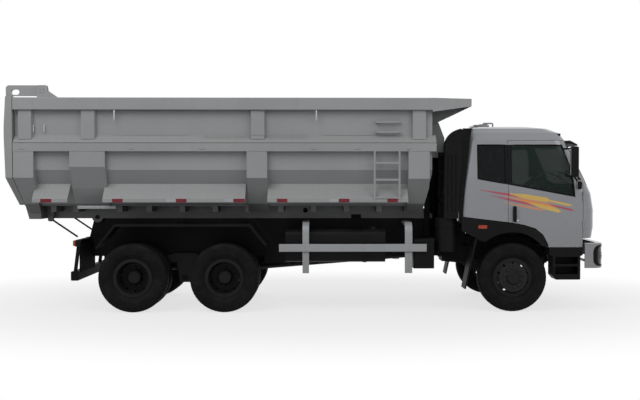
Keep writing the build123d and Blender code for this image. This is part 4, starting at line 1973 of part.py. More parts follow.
with BuildPart() as tailgate:
    with BuildSketch(side_view(BED_HALF_WIDTH - 5)):
        with BuildLine():
            Polyline(
                (-4440, GATE_TOP),
                (GATE_OUTER, 2762),
                (GATE_OUTER, 2600),
                (-4445, 2009),
                (-4335, 1600),
                (-4250, 1600),
                (-4268, 1652),
                (BED_REAR - 10, 2012),
                (BED_REAR - 10, GATE_TOP),
                close=True,
            )
        make_face()
    extrude(amount=2 * (BED_HALF_WIDTH - 5))
    with BuildSketch(front_view(GATE_OUTER - 10)):
        with BuildLine():
            Polyline((-BED_HALF_WIDTH + 5, GATE_TOP), (-BED_HALF_WIDTH + 5, 2009), (-960, 1600),
                     (960, 1600),
                     (BED_HALF_WIDTH - 5, 2009), (BED_HALF_WIDTH - 5, GATE_TOP), close=True)
        make_face()
    extrude(amount=300, mode=Mode.INTERSECT)
    for bottom, top in GATE_POCKETS:
        with BuildSketch(front_view(GATE_OUTER - 10)):
            for y in GATE_COLUMNS:
                with Locations((y * (0.8 if bottom < 1800 else 1), (bottom + top) / 2)):
                    RectangleRounded(GATE_POCKET_WIDTH * (0.75 if bottom < 1800 else 1), top - bottom, 30)
        extrude(amount=BED_REAR - GATE_PLATE - GATE_OUTER, mode=Mode.SUBTRACT)
    # hinge arms over the top of the side walls
    for sign in (1, -1):
        with BuildSketch(side_view(sign * GATE_ARM_Y)):
            with BuildLine():
                Polyline((-4440, GATE_TOP - 40), (-4440, 3340), (-4409, 3371), (-3920, 3371), (-3872, 3323),
                         (-3872, 3262), (-3920, 3215), (-4200, 3215), (BED_REAR - 12, 3215),
                         (BED_REAR - 12, GATE_TOP - 40), close=True)
            make_face()
            with Locations((-4300, 3270)):
                SlotOverall(120, 80, mode=Mode.SUBTRACT)
            with Locations((GATE_HINGE_X, GATE_HINGE_Z)):
                Circle(GATE_PIN_RADIUS + SHAFT_CLEARANCE, mode=Mode.SUBTRACT)
        extrude(amount=-sign * GATE_ARM_WIDTH)
tailgate.part.label = "tailgate"
export_step(tailgate.part, "parts/tailgate.step")

# ---------------------------------------------------------------- hoist cylinder
HOIST_TUBE_TOP = 2360.0
STAGE_STAND = 12.0           # each stage stands this far above the one around it
STAGE_CLEARANCE = 0.05
HOIST_EYE_RADIUS = 46.0
HOIST_EYE_HALF = 40.0
HOIST_EYE_PIN_HALF = 58.0
TRUNNION_HALF = 410.0

with BuildPart() as hoist_tube:
    with BuildSketch(plan_view(HOIST_BASE_Z - 60)):
        with Locations((HOIST_X, 0)):
            Circle(HOIST_TUBE_RADIUS)
    extrude(amount=HOIST_TUBE_TOP - HOIST_BASE_Z + 60)
    with BuildSketch(plan_view(HOIST_TUBE_TOP - 60)):
        with Locations((HOIST_X, 0)):
            Circle(HOIST_TUBE_RADIUS + 6)
    extrude(amount=40)
    with BuildSketch(plan_view(HOIST_BASE_Z + 60)):
        with Locations((HOIST_X, 0)):
            Circle(HOIST_TUBE_RADIUS - HOIST_STEP + STAGE_CLEARANCE)
    extrude(amount=HOIST_TUBE_TOP - HOIST_BASE_Z, mode=Mode.SUBTRACT)
    with BuildSketch(side_view(TRUNNION_HALF)):
        with Locations((HOIST_X, HOIST_BASE_Z)):
            Circle(HOIST_PIN_RADIUS)
    extrude(amount=2 * TRUNNION_HALF)
hoist_tube.part.label = "hoist_tube"
export_step(hoist_tube.part, "parts/hoist_tube.step")

for stage in range(1, HOIST_STAGES + 1):
    radius = HOIST_TUBE_RADIUS - HOIST_STEP * stage
    top = HOIST_TUBE_TOP + STAGE_STAND * stage
    bottom = HOIST_BASE_Z + 60 + 8 * stage
    with BuildPart() as hoist_stage:
        with BuildSketch(plan_view(bottom)):
            with Locations((HOIST_X, 0)):
                Circle(radius)
                if stage < HOIST_STAGES:
                    Circle(radius - HOIST_STEP + STAGE_CLEARANCE, mode=Mode.SUBTRACT)
                else:
                    Circle(radius - HOIST_WALL, mode=Mode.SUBTRACT)
        extrude(amount=top - bottom)
        if stage == HOIST_STAGES:
            with BuildSketch(plan_view(top)):
                with Locations((HOIST_X, 0)):
                    Circle(radius)
            extrude(amount=HOIST_EYE_Z - top - HOIST_EYE_RADIUS / 2)
            with BuildSketch(side_view(HOIST_EYE_HALF)):
                with Locations((HOIST_X, HOIST_EYE_Z)):
                    Circle(HOIST_EYE_RADIUS)
            extrude(amount=2 * HOIST_EYE_HALF)
            with BuildSketch(side_view(HOIST_EYE_PIN_HALF)):
                with Locations((HOIST_X, HOIST_EYE_Z)):
                    Circle(HOIST_PIN_RADIUS)
            extrude(amount=2 * HOIST_EYE_PIN_HALF)
    hoist_stage.part.label = f"hoist_stage_{stage}"
    export_step(hoist_stage.part, f"parts/hoist_stage_{stage}.step")

# ---------------------------------------------------------------- tailgate latch rods
LATCH_END = (-3580.0, 1092.0)
ROD_RADIUS = 14.0
with BuildPart() as latch_rods:
    for sign in (1, -1):
        with BuildSketch(side_view(sign * LATCH_Y)):
            with Locations((LATCH_X, LATCH_Z)):
                Circle(40)
                Circle(LATCH_PIN_RADIUS + SHAFT_CLEARANCE, mode=Mode.SUBTRACT)
        extrude(amount=12, both=True)
        bar_line = Vector(LATCH_END[0] - LATCH_X, 0, LATCH_END[1] - LATCH_Z)
        with BuildSketch(Plane(origin=Vector(LATCH_X, sign * LATCH_Y, LATCH_Z) + bar_line.normalized() * 34,
                               z_dir=bar_line)) as rod_section:
            Circle(ROD_RADIUS)
        extrude(rod_section.sketch, amount=bar_line.length - 34)
latch_rods.part.label = "latch_rods"
export_step(latch_rods.part, "parts/latch_rods.step")
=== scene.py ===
"""Dump truck: the looks of its paint, rubber, glass and trim, and the small pieces on its panels."""
import json
import math
from math import cos, pi, radians, sin

import bmesh
import bpy
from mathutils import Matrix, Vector


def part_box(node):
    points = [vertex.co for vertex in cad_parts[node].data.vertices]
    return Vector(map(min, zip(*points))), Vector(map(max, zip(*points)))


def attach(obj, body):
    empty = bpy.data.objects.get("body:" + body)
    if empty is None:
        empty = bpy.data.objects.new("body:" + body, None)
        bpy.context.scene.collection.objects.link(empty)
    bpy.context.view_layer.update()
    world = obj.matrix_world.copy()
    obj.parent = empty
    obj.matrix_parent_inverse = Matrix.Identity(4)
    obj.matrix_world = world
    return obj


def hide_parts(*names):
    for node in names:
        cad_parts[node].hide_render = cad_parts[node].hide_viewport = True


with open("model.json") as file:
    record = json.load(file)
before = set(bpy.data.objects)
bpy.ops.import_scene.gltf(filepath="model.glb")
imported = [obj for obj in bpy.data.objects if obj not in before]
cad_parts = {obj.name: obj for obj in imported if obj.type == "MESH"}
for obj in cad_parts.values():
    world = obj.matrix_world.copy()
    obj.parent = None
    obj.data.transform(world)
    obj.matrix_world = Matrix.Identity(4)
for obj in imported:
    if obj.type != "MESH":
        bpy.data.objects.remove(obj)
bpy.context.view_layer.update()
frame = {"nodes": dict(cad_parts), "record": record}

bl_info = {
    "name": "Dump truck finish",
    "version": (1, 0, 0),
    "blender": (4, 5, 0),
    "location": "View3D > Sidebar > Truck",
    "description": "Finishes and small pieces for a three-axle dump truck",
    "category": "Object",
}

NODES = frame["nodes"]
SIDES = (("left", 1), ("right", -1))
REAR_AXLES = ("rear_front", "rear_rear")


# ---------------------------------------------------------------- sizes and colours
def length(name, description, default):
    """A size in metres."""
    return bpy.props.FloatProperty(name=name, description=description, default=default, min=0.0, unit="LENGTH")


def colour(name, description, default):
    """A linear colour."""
    return bpy.props.FloatVectorProperty(name=name, description=description, default=default, size=3,
                                         min=0.0, max=1.0, subtype="COLOR")


class TruckPaint(bpy.types.PropertyGroup):
    """Colours of the truck's finishes."""

    bed: colour("Body grey", "Paint of the tipping body", (0.206, 0.212, 0.215))
    cab: colour("Cab white", "Paint of the cab and bumper", (0.178, 0.184, 0.198))
    frame: colour("Chassis black", "Paint of the chassis, mudguards and wheels", (0.0042, 0.0042, 0.0045))
    guard: colour("Guard white", "Paint of the side guards", (0.215, 0.222, 0.230))
    rubber: colour("Rubber", "Tyre rubber", (0.0040, 0.0040, 0.0041))
    plastic: colour("Black plastic", "Grained plastic trim", (0.0042, 0.0042, 0.0045))
    dust: colour("Dust", "Dry road dust", (0.115, 0.105, 0.090))
    tape: colour("Tape red", "Reflective tape", (0.125, 0.004, 0.013))
    stripe_red: colour("Stripe red", "First colour of the door stripes", (0.30, 0.016, 0.050))
    stripe_orange: colour("Stripe orange", "Middle colour of the door stripes", (0.50, 0.165, 0.035))
    stripe_yellow: colour("Stripe yellow", "Last colour of the door stripes", (0.46, 0.30, 0.050))


class TruckSizes(bpy.types.PropertyGroup):
    """Sizes of the pieces that are added to the frame."""

    tread_depth: length("Tread depth", "Depth of the tread grooves", 0.013)
    tread_blocks: bpy.props.IntProperty(name="Tread blocks", description="Blocks round each tyre", default=54,
                                        min=12)
    seal: length("Window seal", "Width of the rubber round the glass", 0.022)


# ---------------------------------------------------------------- shader building
class Value:
    """A shader socket that can be added to, multiplied and so on."""

    def __init__(self, kit, socket):
        self.kit = kit
        self.socket = socket

    def _with(self, operation, first, second):
        return self.kit.node("ShaderNodeMath", {"operation": operation}, first, second)

    def __add__(self, other):
        return self._with("ADD", self, other)

    def __radd__(self, other):
        return self._with("ADD", other, self)

    def __sub__(self, other):
        return self._with("SUBTRACT", self, other)

    def __rsub__(self, other):
        return self._with("SUBTRACT", other, self)

    def __mul__(self, other):
        return self._with("MULTIPLY", self, other)

    def __rmul__(self, other):
        return self._with("MULTIPLY", other, self)

    def __abs__(self):
        return self._with("ABSOLUTE", self, 0.0)

    def fade(self, low, high):
        """0 at low and 1 at high, smooth between."""
        return self.kit.node("ShaderNodeMapRange", {"interpolation_type": "SMOOTHSTEP"}, self, low, high)

    def inside(self, low, high, soft):
        """1 between low and high, with a soft edge."""
        return self.fade(low - soft, low + soft) * (1.0 - self.fade(high - soft, high + soft))


class ShaderKit:
    """Builds one material's nodes."""

    def __init__(self, name):
        self.material = bpy.data.materials.new(name)
        self.material.use_nodes = True
        self.tree = self.material.node_tree
        self.surface = self.tree.nodes["Principled BSDF"]
        place = self.tree.nodes.new("ShaderNodeTexCoord")
        self.place = Value(self, place.outputs["Object"])
        self.facing = Value(self, place.outputs["Normal"])
        self.x, self.y, self.z = self.split(self.place)

    def node(self, kind, settings, *inputs, out=0):
        made = self.tree.nodes.new(kind)
        for key, value in settings.items():
            setattr(made, key, value)
        for index, value in enumerate(inputs):
            if value is None:
                continue
            if isinstance(value, Value):
                self.tree.links.new(value.socket, made.inputs[index])
            else:
                made.inputs[index].default_value = value
        return Value(self, made.outputs[out])

    def split(self, vector):
        parts = self.tree.nodes.new("ShaderNodeSeparateXYZ")
        self.tree.links.new(vector.socket, parts.inputs[0])
        return [Value(self, part) for part in parts.outputs]

    def noise(self, scale, detail=3.0, stretch=None):
        place = self.place
        if stretch:
            place = self.node("ShaderNodeVectorMath", {"operation": "MULTIPLY"}, place, stretch)
        return self.node("ShaderNodeTexNoise", {}, place, None, scale, detail, 0.55)

    def cells(self, scale, feature="F1"):
        return self.node("ShaderNodeTexVoronoi", {"feature": feature}, self.place, None, scale)

    def stripes(self, direction, scale, waver):
        """Bands across one direction."""
        return self.node("ShaderNodeTexWave", {"wave_type": "BANDS", "bands_direction": direction}, self.place,
                         scale, waver, out=1)

    def mix(self, amount, first, second):
        """Colour between first and second."""
        made = self.tree.nodes.new("ShaderNodeMix")
        made.data_type = "RGBA"
        for index, value in ((0, amount), (6, first), (7, second)):
            if isinstance(value, Value):
                self.tree.links.new(value.socket, made.inputs[index])
            elif index:
                made.inputs[index].default_value = (*value, 1.0)
            else:
                made.inputs[index].default_value = value
        return Value(self, made.outputs[2])

    def bump(self, height, strength, distance):
        """Normal from a height, in metres of distance."""
        made = self.tree.nodes.new("ShaderNodeBump")
        made.inputs["Strength"].default_value = strength
        made.inputs["Distance"].default_value = distance
        self.tree.links.new(height.socket, made.inputs["Height"])
        self.tree.links.new(made.outputs[0], self.surface.inputs["Normal"])

    def set(self, **sockets):
        for key, value in sockets.items():
            socket = self.surface.inputs[key.replace("_", " ")]
            if isinstance(value, Value):
                self.tree.links.new(value.socket, socket)
            elif isinstance(value, tuple) and len(value) == 3 and socket.type == "RGBA":
                socket.default_value = (*value, 1.0)
            else:
                socket.default_value = value


def shade(tint, factor):
    """A colour made lighter or darker."""
    return tuple(min(1.0, c * factor) for c in tint)


# ---------------------------------------------------------------- finishes
def body_paint(paint, name, base, gloss, dust_top, streaks):
    """Sprayed steel plate with faint waves, run marks under the rails and dust low down."""
    kit = ShaderKit(name)
    cloud = kit.noise(1.3, 4.0)
    fine = kit.noise(38.0, 4.0)
    runs = kit.noise(9.0, 3.0, stretch=(1.0, 1.0, 0.06)).fade(0.52, 0.78) * streaks
    low = 1.0 - kit.z.fade(dust_top - 0.5, dust_top + 0.25)
    dust = ((cloud * 0.5 + fine * 0.5).fade(0.40, 0.72) * 0.55 + 0.12) * low
    specks = kit.cells(60.0).fade(0.05, 0.13)
    tint = kit.mix(cloud.fade(0.25, 0.75), shade(base, 0.93), shade(base, 1.05))
    tint = kit.mix(runs, tint, shade(base, 0.72))
    tint = kit.mix((1.0 - specks) * 0.35 * low, tint, shade(base, 0.45))
    tint = kit.mix(dust, tint, tuple(paint.dust))
    kit.set(Base_Color=tint, Roughness=(fine * 0.10 + runs * 0.12 + dust * 0.45 + gloss), Coat_Weight=0.25,
            Coat_Roughness=0.12)
    kit.bump(fine * 0.35 + kit.noise(5.0, 2.0) * 0.65, 0.25, 0.0012)
    return kit.material


def load_wear_and_shade(paint, name, base):
    """Body paint that is scraped inside the load space, where the wall faces the load, with painted shade on
    downward faces and under the floor.
    """
    kit = ShaderKit(name)
    cloud = kit.noise(1.1, 4.0)
    fine = kit.noise(42.0, 4.0)
    runs = kit.noise(7.0, 3.0, stretch=(1.0, 1.0, 0.05)).fade(0.54, 0.80)
    facing_x, facing_y, facing_z = kit.split(kit.facing)
    space = kit.y.inside(-1.16, 1.16, 0.006) * kit.z.inside(1.59, 3.1, 0.01)
    walls = (kit.y * facing_y * -1.0).fade(0.15, 0.35)
    floor = facing_z.fade(0.85, 0.95) * (1.0 - kit.z.fade(1.62, 1.66))
    front = (facing_x * -1.0).fade(0.6, 0.8) * kit.x.inside(1.2, 1.86, 0.01)
    inner = ((walls + floor + front) * space).fade(0.0, 1.0)
    # painted shade: below the top of the load floor, on the beams and ribs under the bed, the paint is darkened
    under = 1.0 - kit.z.fade(1.605, 1.630)
    scrape = kit.noise(6.0, 6.0, stretch=(0.10, 1.0, 1.0)).fade(0.50, 0.60) * inner
    rust = (kit.noise(4.0, 6.0).fade(0.52, 0.66) * 0.55) * inner
    ledge = facing_z.fade(0.25, 0.9) * (fine * 0.5 + cloud * 0.5).fade(0.36, 0.64)
    tint = kit.mix(cloud.fade(0.25, 0.75), shade(base, 0.94), shade(base, 1.05))
    tint = kit.mix(runs * 0.22, tint, shade(base, 0.66))
    tint = kit.mix(scrape * 0.55, tint, (0.16, 0.155, 0.15))
    tint = kit.mix(rust, tint, (0.13, 0.062, 0.033))
    tint = kit.mix(ledge * 0.30, tint, tuple(paint.dust))
    # painted shade: faces turned downwards are darkened towards a quarter of the paint's brightness
    painted_shade_downward = (facing_z * -1.0).fade(0.10, 0.60) * 0.38
    tint = kit.mix(painted_shade_downward, tint, shade(base, 0.25))
    # painted shade under the load floor
    tint = kit.mix(under * 0.80, tint, shade(base, 0.14))
    kit.set(Base_Color=tint, Roughness=fine * 0.12 + 0.36 + inner * 0.16 + ledge * 0.2,
            Metallic=scrape * 0.5)
    kit.bump(fine * 0.25 + kit.noise(3.2, 2.0) * 0.75 + scrape * 0.4, 0.35, 0.002)
    return kit.material


def sweep(kit, row):
    """Mask of one swept dash between two points on the door, thin at its tail and blunter at its head."""
    (tail_x, tail_z), (head_x, head_z), width, sag, _ = row
    run = (kit.x - tail_x) * (1.0 / (head_x - tail_x))
    middle = run * (head_z - tail_z) + tail_z - run * (1.0 - run) * sag
    half = (run.fade(0.0, 0.45) * 0.7 + run.fade(-0.02, 0.04) * 0.3) * (1.0 - run.fade(0.86, 1.0)) * (width / 2)
    inside = run.inside(0.0, 1.0, 0.002)
    return (1.0 - (abs(kit.z - middle) - half).fade(-0.002, 0.002)) * inside


# swept dashes on the doors and the panels behind them: tail (x, z), head (x, z), width, sag, colour
SWEEPS = (
    ((2.930, 1.745), (3.700, 1.590), 0.150, 0.030, "pale"),
    ((2.568, 1.828), (3.420, 1.700), 0.032, 0.020, "red"),
    ((2.725, 1.750), (3.500, 1.580), 0.030, 0.024, "red"),
    ((2.900, 1.650), (3.560, 1.515), 0.022, 0.010, "orange"),
    ((3.010, 1.772), (3.640, 1.668), 0.070, 0.016, "yellow"),
    ((3.080, 1.706), (3.720, 1.560), 0.056, 0.020, "orange"),
    ((3.300, 1.636), (3.800, 1.500), 0.060, 0.010, "yellow"),
    ((3.520, 1.690), (3.965, 1.590), 0.034, 0.012, "yellow"),
    ((3.600, 1.612), (3.985, 1.520), 0.030, 0.012, "red"),
)
# the black band round the side windows: belt line, top and sloping front edge
BAND_REAR = (2.530, 1.992)
BAND_FRONT = (4.000, 1.720)
BAND_TOP = 2.500
BAND_LEAN = 0.2445


def cab_paint(paint, name):
    """Gloss cab paint with swept dashes on the doors and a black band round the side windows."""
    kit = ShaderKit(name)
    base = tuple(paint.cab)
    cloud = kit.noise(1.6, 3.0)
    fine = kit.noise(55.0, 4.0)
    low = 1.0 - kit.z.fade(1.0, 1.9)
    dust = (cloud * 0.4 + fine * 0.6).fade(0.42, 0.70) * low * 0.40
    tint = kit.mix(cloud.fade(0.2, 0.8), shade(base, 0.965), shade(base, 1.03))
    flank = (abs(kit.y) - 1.10).fade(0.0, 0.01)
    colours = {"red": tuple(paint.stripe_red), "orange": tuple(paint.stripe_orange),
               "yellow": tuple(paint.stripe_yellow)}
    colours["pale"] = tuple(0.35 * c + 0.65 * b for c, b in zip(colours["orange"], base))
    for row in SWEEPS:
        tint = kit.mix(sweep(kit, row) * flank * 0.94, tint, colours[row[-1]])
    tint = kit.mix(dust, tint, tuple(paint.dust))
    slope = (BAND_FRONT[1] - BAND_REAR[1]) / (BAND_FRONT[0] - BAND_REAR[0])
    belt = (kit.x - BAND_REAR[0]) * slope + BAND_REAR[1]
    front = (kit.z - BAND_FRONT[1]) * -BAND_LEAN + BAND_FRONT[0]
    band = (kit.z - belt).fade(-0.001, 0.001) * (1.0 - kit.z.fade(BAND_TOP, BAND_TOP + 0.002))
    band = band * kit.x.fade(BAND_REAR[0], BAND_REAR[0] + 0.002) * (front - kit.x).fade(0.0, 0.002)
    band = band * (abs(kit.y) - 1.0).fade(0.0, 0.002)
    tint = kit.mix(band, tint, (0.010, 0.011, 0.012))
    kit.set(Base_Color=tint, Roughness=fine * 0.05 + dust * 0.5 + 0.20, Metallic=band * 0.95,
            Coat_Weight=(1.0 - band) * 0.30, Coat_Roughness=0.05)
    kit.bump(fine * 0.2 + kit.noise(4.0, 2.0) * 0.8, 0.10, 0.0010)
    return kit.material


def black_paint(paint, name, base, gloss, dust_amount, ring_shade=None):
    """Chassis paint under a film of dust; ring_shade lightens a ring of the front wheels' discs."""
    kit = ShaderKit(name)
    cloud = kit.noise(2.2, 5.0)
    fine = kit.noise(70.0, 4.0)
    facing_z = kit.split(kit.facing)[2]
    film = (cloud * 0.6 + fine * 0.4).fade(0.40, 0.68) * (facing_z.fade(0.1, 0.9) * 0.6 + 0.4) * dust_amount
    chips = (1.0 - kit.cells(90.0).fade(0.03, 0.09)) * cloud.fade(0.5, 0.7)
    tint = kit.mix(cloud, shade(base, 0.75), shade(base, 1.30))
    tint = kit.mix(film, tint, shade(tuple(paint.dust), 0.55))
    tint = kit.mix(chips * 0.4, tint, (0.040, 0.024, 0.017))
    if ring_shade:
        along, up = kit.x - AXLE_LINES["front"], kit.z - AXLE_HEIGHT
        ring = (along * along + up * up).inside(RIM_RING[0] ** 2, RIM_RING[1] ** 2, 0.002)
        tint = kit.mix(ring, tint, shade(base, ring_shade))
    kit.set(Base_Color=tint, Roughness=fine * 0.15 + film * 0.4 + gloss, Specular_IOR_Level=0.08)
    kit.bump(fine * 0.6 + cloud * 0.4, 0.3, 0.0015)
    return kit.material


def cast_iron(name):
    """Rough painted casting with oil-dark patches and rust in the pores."""
    kit = ShaderKit(name)
    sand = kit.noise(130.0, 5.0)
    cloud = kit.noise(3.0, 5.0)
    rust = (cloud * 0.5 + sand * 0.5).fade(0.52, 0.66)
    tint = kit.mix(cloud, (0.006, 0.006, 0.0065), (0.016, 0.015, 0.0145))
    tint = kit.mix(rust * 0.4, tint, (0.032, 0.018, 0.012))
    kit.set(Base_Color=tint, Roughness=sand * 0.3 + 0.45, Specular_IOR_Level=0.2)
    kit.bump(sand, 0.5, 0.002)
    return kit.material


def tyre_rubber(paint, name):
    """Rubber, dusty on the tread and in the sidewall's fine rings."""
    kit = ShaderKit(name)
    base = tuple(paint.rubber)
    fine = kit.noise(90.0, 4.0)
    cloud = kit.noise(7.0, 4.0)
    dust = (fine * 0.5 + cloud * 0.5).fade(0.44, 0.70)
    tint = kit.mix(cloud, shade(base, 0.8), shade(base, 1.4))
    tint = kit.mix(dust * 0.10, tint, shade(tuple(paint.dust), 0.6))
    kit.set(Base_Color=tint, Roughness=fine * 0.15 + 0.62, Specular_IOR_Level=0.07)
    kit.bump(fine * 0.5 + cloud * 0.5, 0.25, 0.0015)
    return kit.material


def grained_plastic(paint, name, base, grain, gloss):
    """Moulded plastic with a pebbled grain."""
    kit = ShaderKit(name)
    pebbles = kit.cells(grain)
    cloud = kit.noise(3.0, 4.0)
    film = kit.noise(24.0, 4.0).fade(0.50, 0.74) * 0.06
    tint = kit.mix(cloud, shade(base, 0.85), shade(base, 1.2))
    tint = kit.mix(film, tint, shade(tuple(paint.dust), 0.6))
    kit.set(Base_Color=tint, Roughness=pebbles * 0.12 + gloss + film, Specular_IOR_Level=0.08)
    kit.bump(pebbles, 0.35, 0.0008)
    return kit.material


def window_glass(name):
    """Green tinted glass, darkest behind the doors, with a faint film of dust."""
    kit = ShaderKit(name)
    film = kit.noise(14.0, 5.0).fade(0.45, 0.80)
    rear = 1.0 - kit.x.fade(2.98, 3.00)
    tint = kit.mix(rear, (0.008, 0.017, 0.013), (0.003, 0.0035, 0.0045))
    tint = kit.mix(film * 0.10, tint, (0.060, 0.064, 0.060))
    kit.set(Base_Color=tint, Roughness=film * 0.05 + 0.04, Alpha=rear * 0.30 + film * 0.06 + 0.63, IOR=1.45,
            Specular_IOR_Level=0.14)
    return kit.material


def lamp_glass(name, base, ribs):
    """Moulded lens with upright ribs and a darker reflector behind it."""
    kit = ShaderKit(name)
    rib = kit.stripes("Y", ribs, 0.6)
    spots = kit.cells(26.0)
    tint = kit.mix(rib * 0.6 + spots * 0.4, shade(base, 0.45), shade(base, 1.35))
    kit.set(Base_Color=tint, Roughness=rib * 0.06 + 0.06, Coat_Weight=0.35, Coat_Roughness=0.03,
            Specular_IOR_Level=0.2)
    kit.bump(rib, 0.5, 0.001)
    return kit.material


def chromed_rod(name):
    """Hard chrome with the fine turning marks of a ram."""
    kit = ShaderKit(name)
    rings = kit.noise(260.0, 3.0, stretch=(0.05, 0.05, 1.0))
    smear = kit.noise(4.0, 4.0)
    tint = kit.mix(smear, (0.46, 0.47, 0.49), (0.62, 0.63, 0.65))
    kit.set(Base_Color=tint, Roughness=rings * 0.12 + smear * 0.12 + 0.10, Metallic=1.0)
    kit.bump(rings, 0.12, 0.0004)
    return kit.material


def woven_fabric(name, base):
    """Seat cloth with a small check weave."""
    kit = ShaderKit(name)
    warp, weft = kit.stripes("Y", 190.0, 1.5), kit.stripes("X", 190.0, 1.5)
    cloud = kit.noise(9.0, 4.0)
    weave = warp * 0.5 + weft * 0.5
    tint = kit.mix(weave * 0.6 + cloud * 0.4, shade(base, 0.55), shade(base, 1.5))
    kit.set(Base_Color=tint, Roughness=cloud * 0.1 + 0.85)
    kit.surface.inputs["Sheen Weight"].default_value = 0.25
    kit.bump(weave, 0.5, 0.0008)
    return kit.material


def reflective_tape(paint, name, base):
    """Reflective tape with a honeycomb of sealed cells."""
    kit = ShaderKit(name)
    comb = kit.cells(140.0, "DISTANCE_TO_EDGE").fade(0.02, 0.08)
    film = kit.noise(20.0, 4.0).fade(0.45, 0.8)
    tint = kit.mix(comb, shade(base, 0.55), shade(base, 1.15))
    tint = kit.mix(film * 0.12, tint, tuple(paint.dust))
    kit.set(Base_Color=tint, Roughness=film * 0.2 + 0.22, Coat_Weight=0.15, Specular_IOR_Level=0.2)
    kit.bump(comb, 0.2, 0.0004)
    return kit.material


def mirror_face(name):
    """Silvered mirror with a few smears."""
    kit = ShaderKit(name)
    smear = kit.noise(18.0, 4.0)
    tint = kit.mix(smear, (0.55, 0.57, 0.58), (0.72, 0.74, 0.75))
    kit.set(Base_Color=tint, Roughness=smear * 0.06 + 0.01, Metallic=1.0)
    return kit.material


FINISHES = {}


def dress(piece, finish):
    """Give a piece one finish."""
    piece.data.materials.clear()
    piece.data.materials.append(FINISHES[finish])


# ---------------------------------------------------------------- modelling helpers
DOUBLE_POINTS = 0.00005


def deselect():
    if bpy.context.object and bpy.context.object.mode != "OBJECT":
        bpy.ops.object.mode_set(mode="OBJECT")
    bpy.ops.object.select_all(action="DESELECT")


def settle(name, finish, body):
    """Name the active piece, put its place in its mesh, and let it ride on a body."""
    piece = bpy.context.object
    bpy.ops.object.transform_apply(location=True, rotation=True, scale=True)
    piece.name = name
    piece.data.name = name
    dress(piece, finish)
    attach(piece, body)
    return piece


def apply_modifier(piece, kind, **settings):
    modifier = piece.modifiers.new(kind.title(), kind)
    for key, value in settings.items():
        setattr(modifier, key, value)
    bpy.ops.object.modifier_apply(modifier=modifier.name)


def stand_up(name, data):
    """A new object with this data, selected and active."""
    deselect()
    piece = bpy.data.objects.new(name, data)
    bpy.context.scene.collection.objects.link(piece)
    piece.select_set(True)
    bpy.context.view_layer.objects.active = piece
    return piece


def close_up(threshold=0.0):
    """Merge the active mesh's doubled points within threshold, and turn its faces outwards."""
    bpy.ops.object.mode_set(mode="EDIT")
    bpy.ops.mesh.select_all(action="SELECT")
    if threshold:
        bpy.ops.mesh.remove_doubles(threshold=threshold)
    bpy.ops.mesh.normals_make_consistent(inside=False)
    bpy.ops.object.mode_set(mode="OBJECT")


def block(low, high, rounding=0.0, steps=2):
    """A rounded block between two corners, left active for settle()."""
    deselect()
    middle = [(a + b) / 2 for a, b in zip(low, high)]
    span = [abs(b - a) for a, b in zip(low, high)]
    bpy.ops.mesh.primitive_cube_add(size=1, location=middle, scale=span)
    piece = bpy.context.object
    bpy.ops.object.transform_apply(location=True, rotation=True, scale=True)
    if rounding:
        apply_modifier(piece, "BEVEL", width=rounding, segments=steps, limit_method="ANGLE")
    return piece


def side_block(xs, ys, zs, side, rounding=0.0, steps=2):
    """A block on one side of the truck, with ys given for the left."""
    near, far = sorted(side * y for y in ys)
    return block((xs[0], near, zs[0]), (xs[1], far, zs[1]), rounding, steps)


def round_bar(centre, radius, depth, axis="Y", sides=16, rounding=0.0):
    """A short bar along one axis, left active for settle()."""
    deselect()
    turn = {"X": (0, pi / 2, 0), "Y": (pi / 2, 0, 0), "Z": (0, 0, 0)}[axis]
    bpy.ops.mesh.primitive_cylinder_add(vertices=sides, radius=radius, depth=depth, location=centre,
                                        rotation=turn)
    piece = bpy.context.object
    bpy.ops.object.transform_apply(location=True, rotation=True, scale=True)
    if rounding:
        apply_modifier(piece, "BEVEL", width=rounding, segments=2, limit_method="ANGLE")
    return piece


def gather(pieces):
    """Join pieces into the first one and leave it active."""
    deselect()
    for piece in pieces:
        piece.select_set(True)
    bpy.context.view_layer.objects.active = pieces[0]
    if len(pieces) > 1:
        bpy.ops.object.join()
    return bpy.context.object


def rod(points, radius, closed=False, sides=4):
    """A round rod or seal along points, made from a bevelled curve."""
    curve = bpy.data.curves.new("rod", "CURVE")
    curve.dimensions = "3D"
    curve.bevel_depth = radius
    curve.bevel_resolution = sides
    curve.use_fill_caps = not closed
    spline = curve.splines.new("POLY")
    spline.points.add(len(points) - 1)
    for vertex, point in zip(spline.points, points):
        vertex.co = (*point, 1.0)
    spline.use_cyclic_u = closed
    stand_up("rod", curve)
    bpy.ops.object.convert(target="MESH")
    close_up(DOUBLE_POINTS)
    bpy.ops.object.shade_smooth_by_angle(angle=radians(40))
    return bpy.context.object


def surface_y(node, side, x, z):
    """The y of a node's outer surface at (x, z), seen from one side of the truck."""
    hit, place, _, _ = NODES[node].ray_cast(Vector((x, side * 2.0, z)), Vector((0, -side, 0)))
    return place.y if hit else None


def front_x(node, y, z):
    """The x of a node's front surface at (y, z)."""
    hit, place, _, _ = NODES[node].ray_cast(Vector((6.0, y, z)), Vector((-1, 0, 0)))
    return place.x if hit else None


# ---------------------------------------------------------------- finishes of the frame
NODE_FINISHES = {
    "bed_grey": "bed_paint",
    "cab_white": "cab_paint",
    "guard_white": "guard_paint",
    "chassis_black": "chassis_paint",
    "tank_paint": "tank_paint",
    "rim": "rim_paint",
    "axle_iron": "cast_iron",
    "engine_iron": "cast_iron",
    "black_plastic": "black_plastic",
    "cab_trim": "cabin_trim",
    "wheel_rubber": "soft_rubber",
    "tyre": "tyre_rubber",
    "seat_fabric": "seat_fabric",
    "glass": "window_glass",
    "lamp_clear": "headlamp_lens",
    "lamp_amber": "amber_lens",
    "piston_chrome": "chromed_rod",
    "rod_steel": "chassis_paint",
}


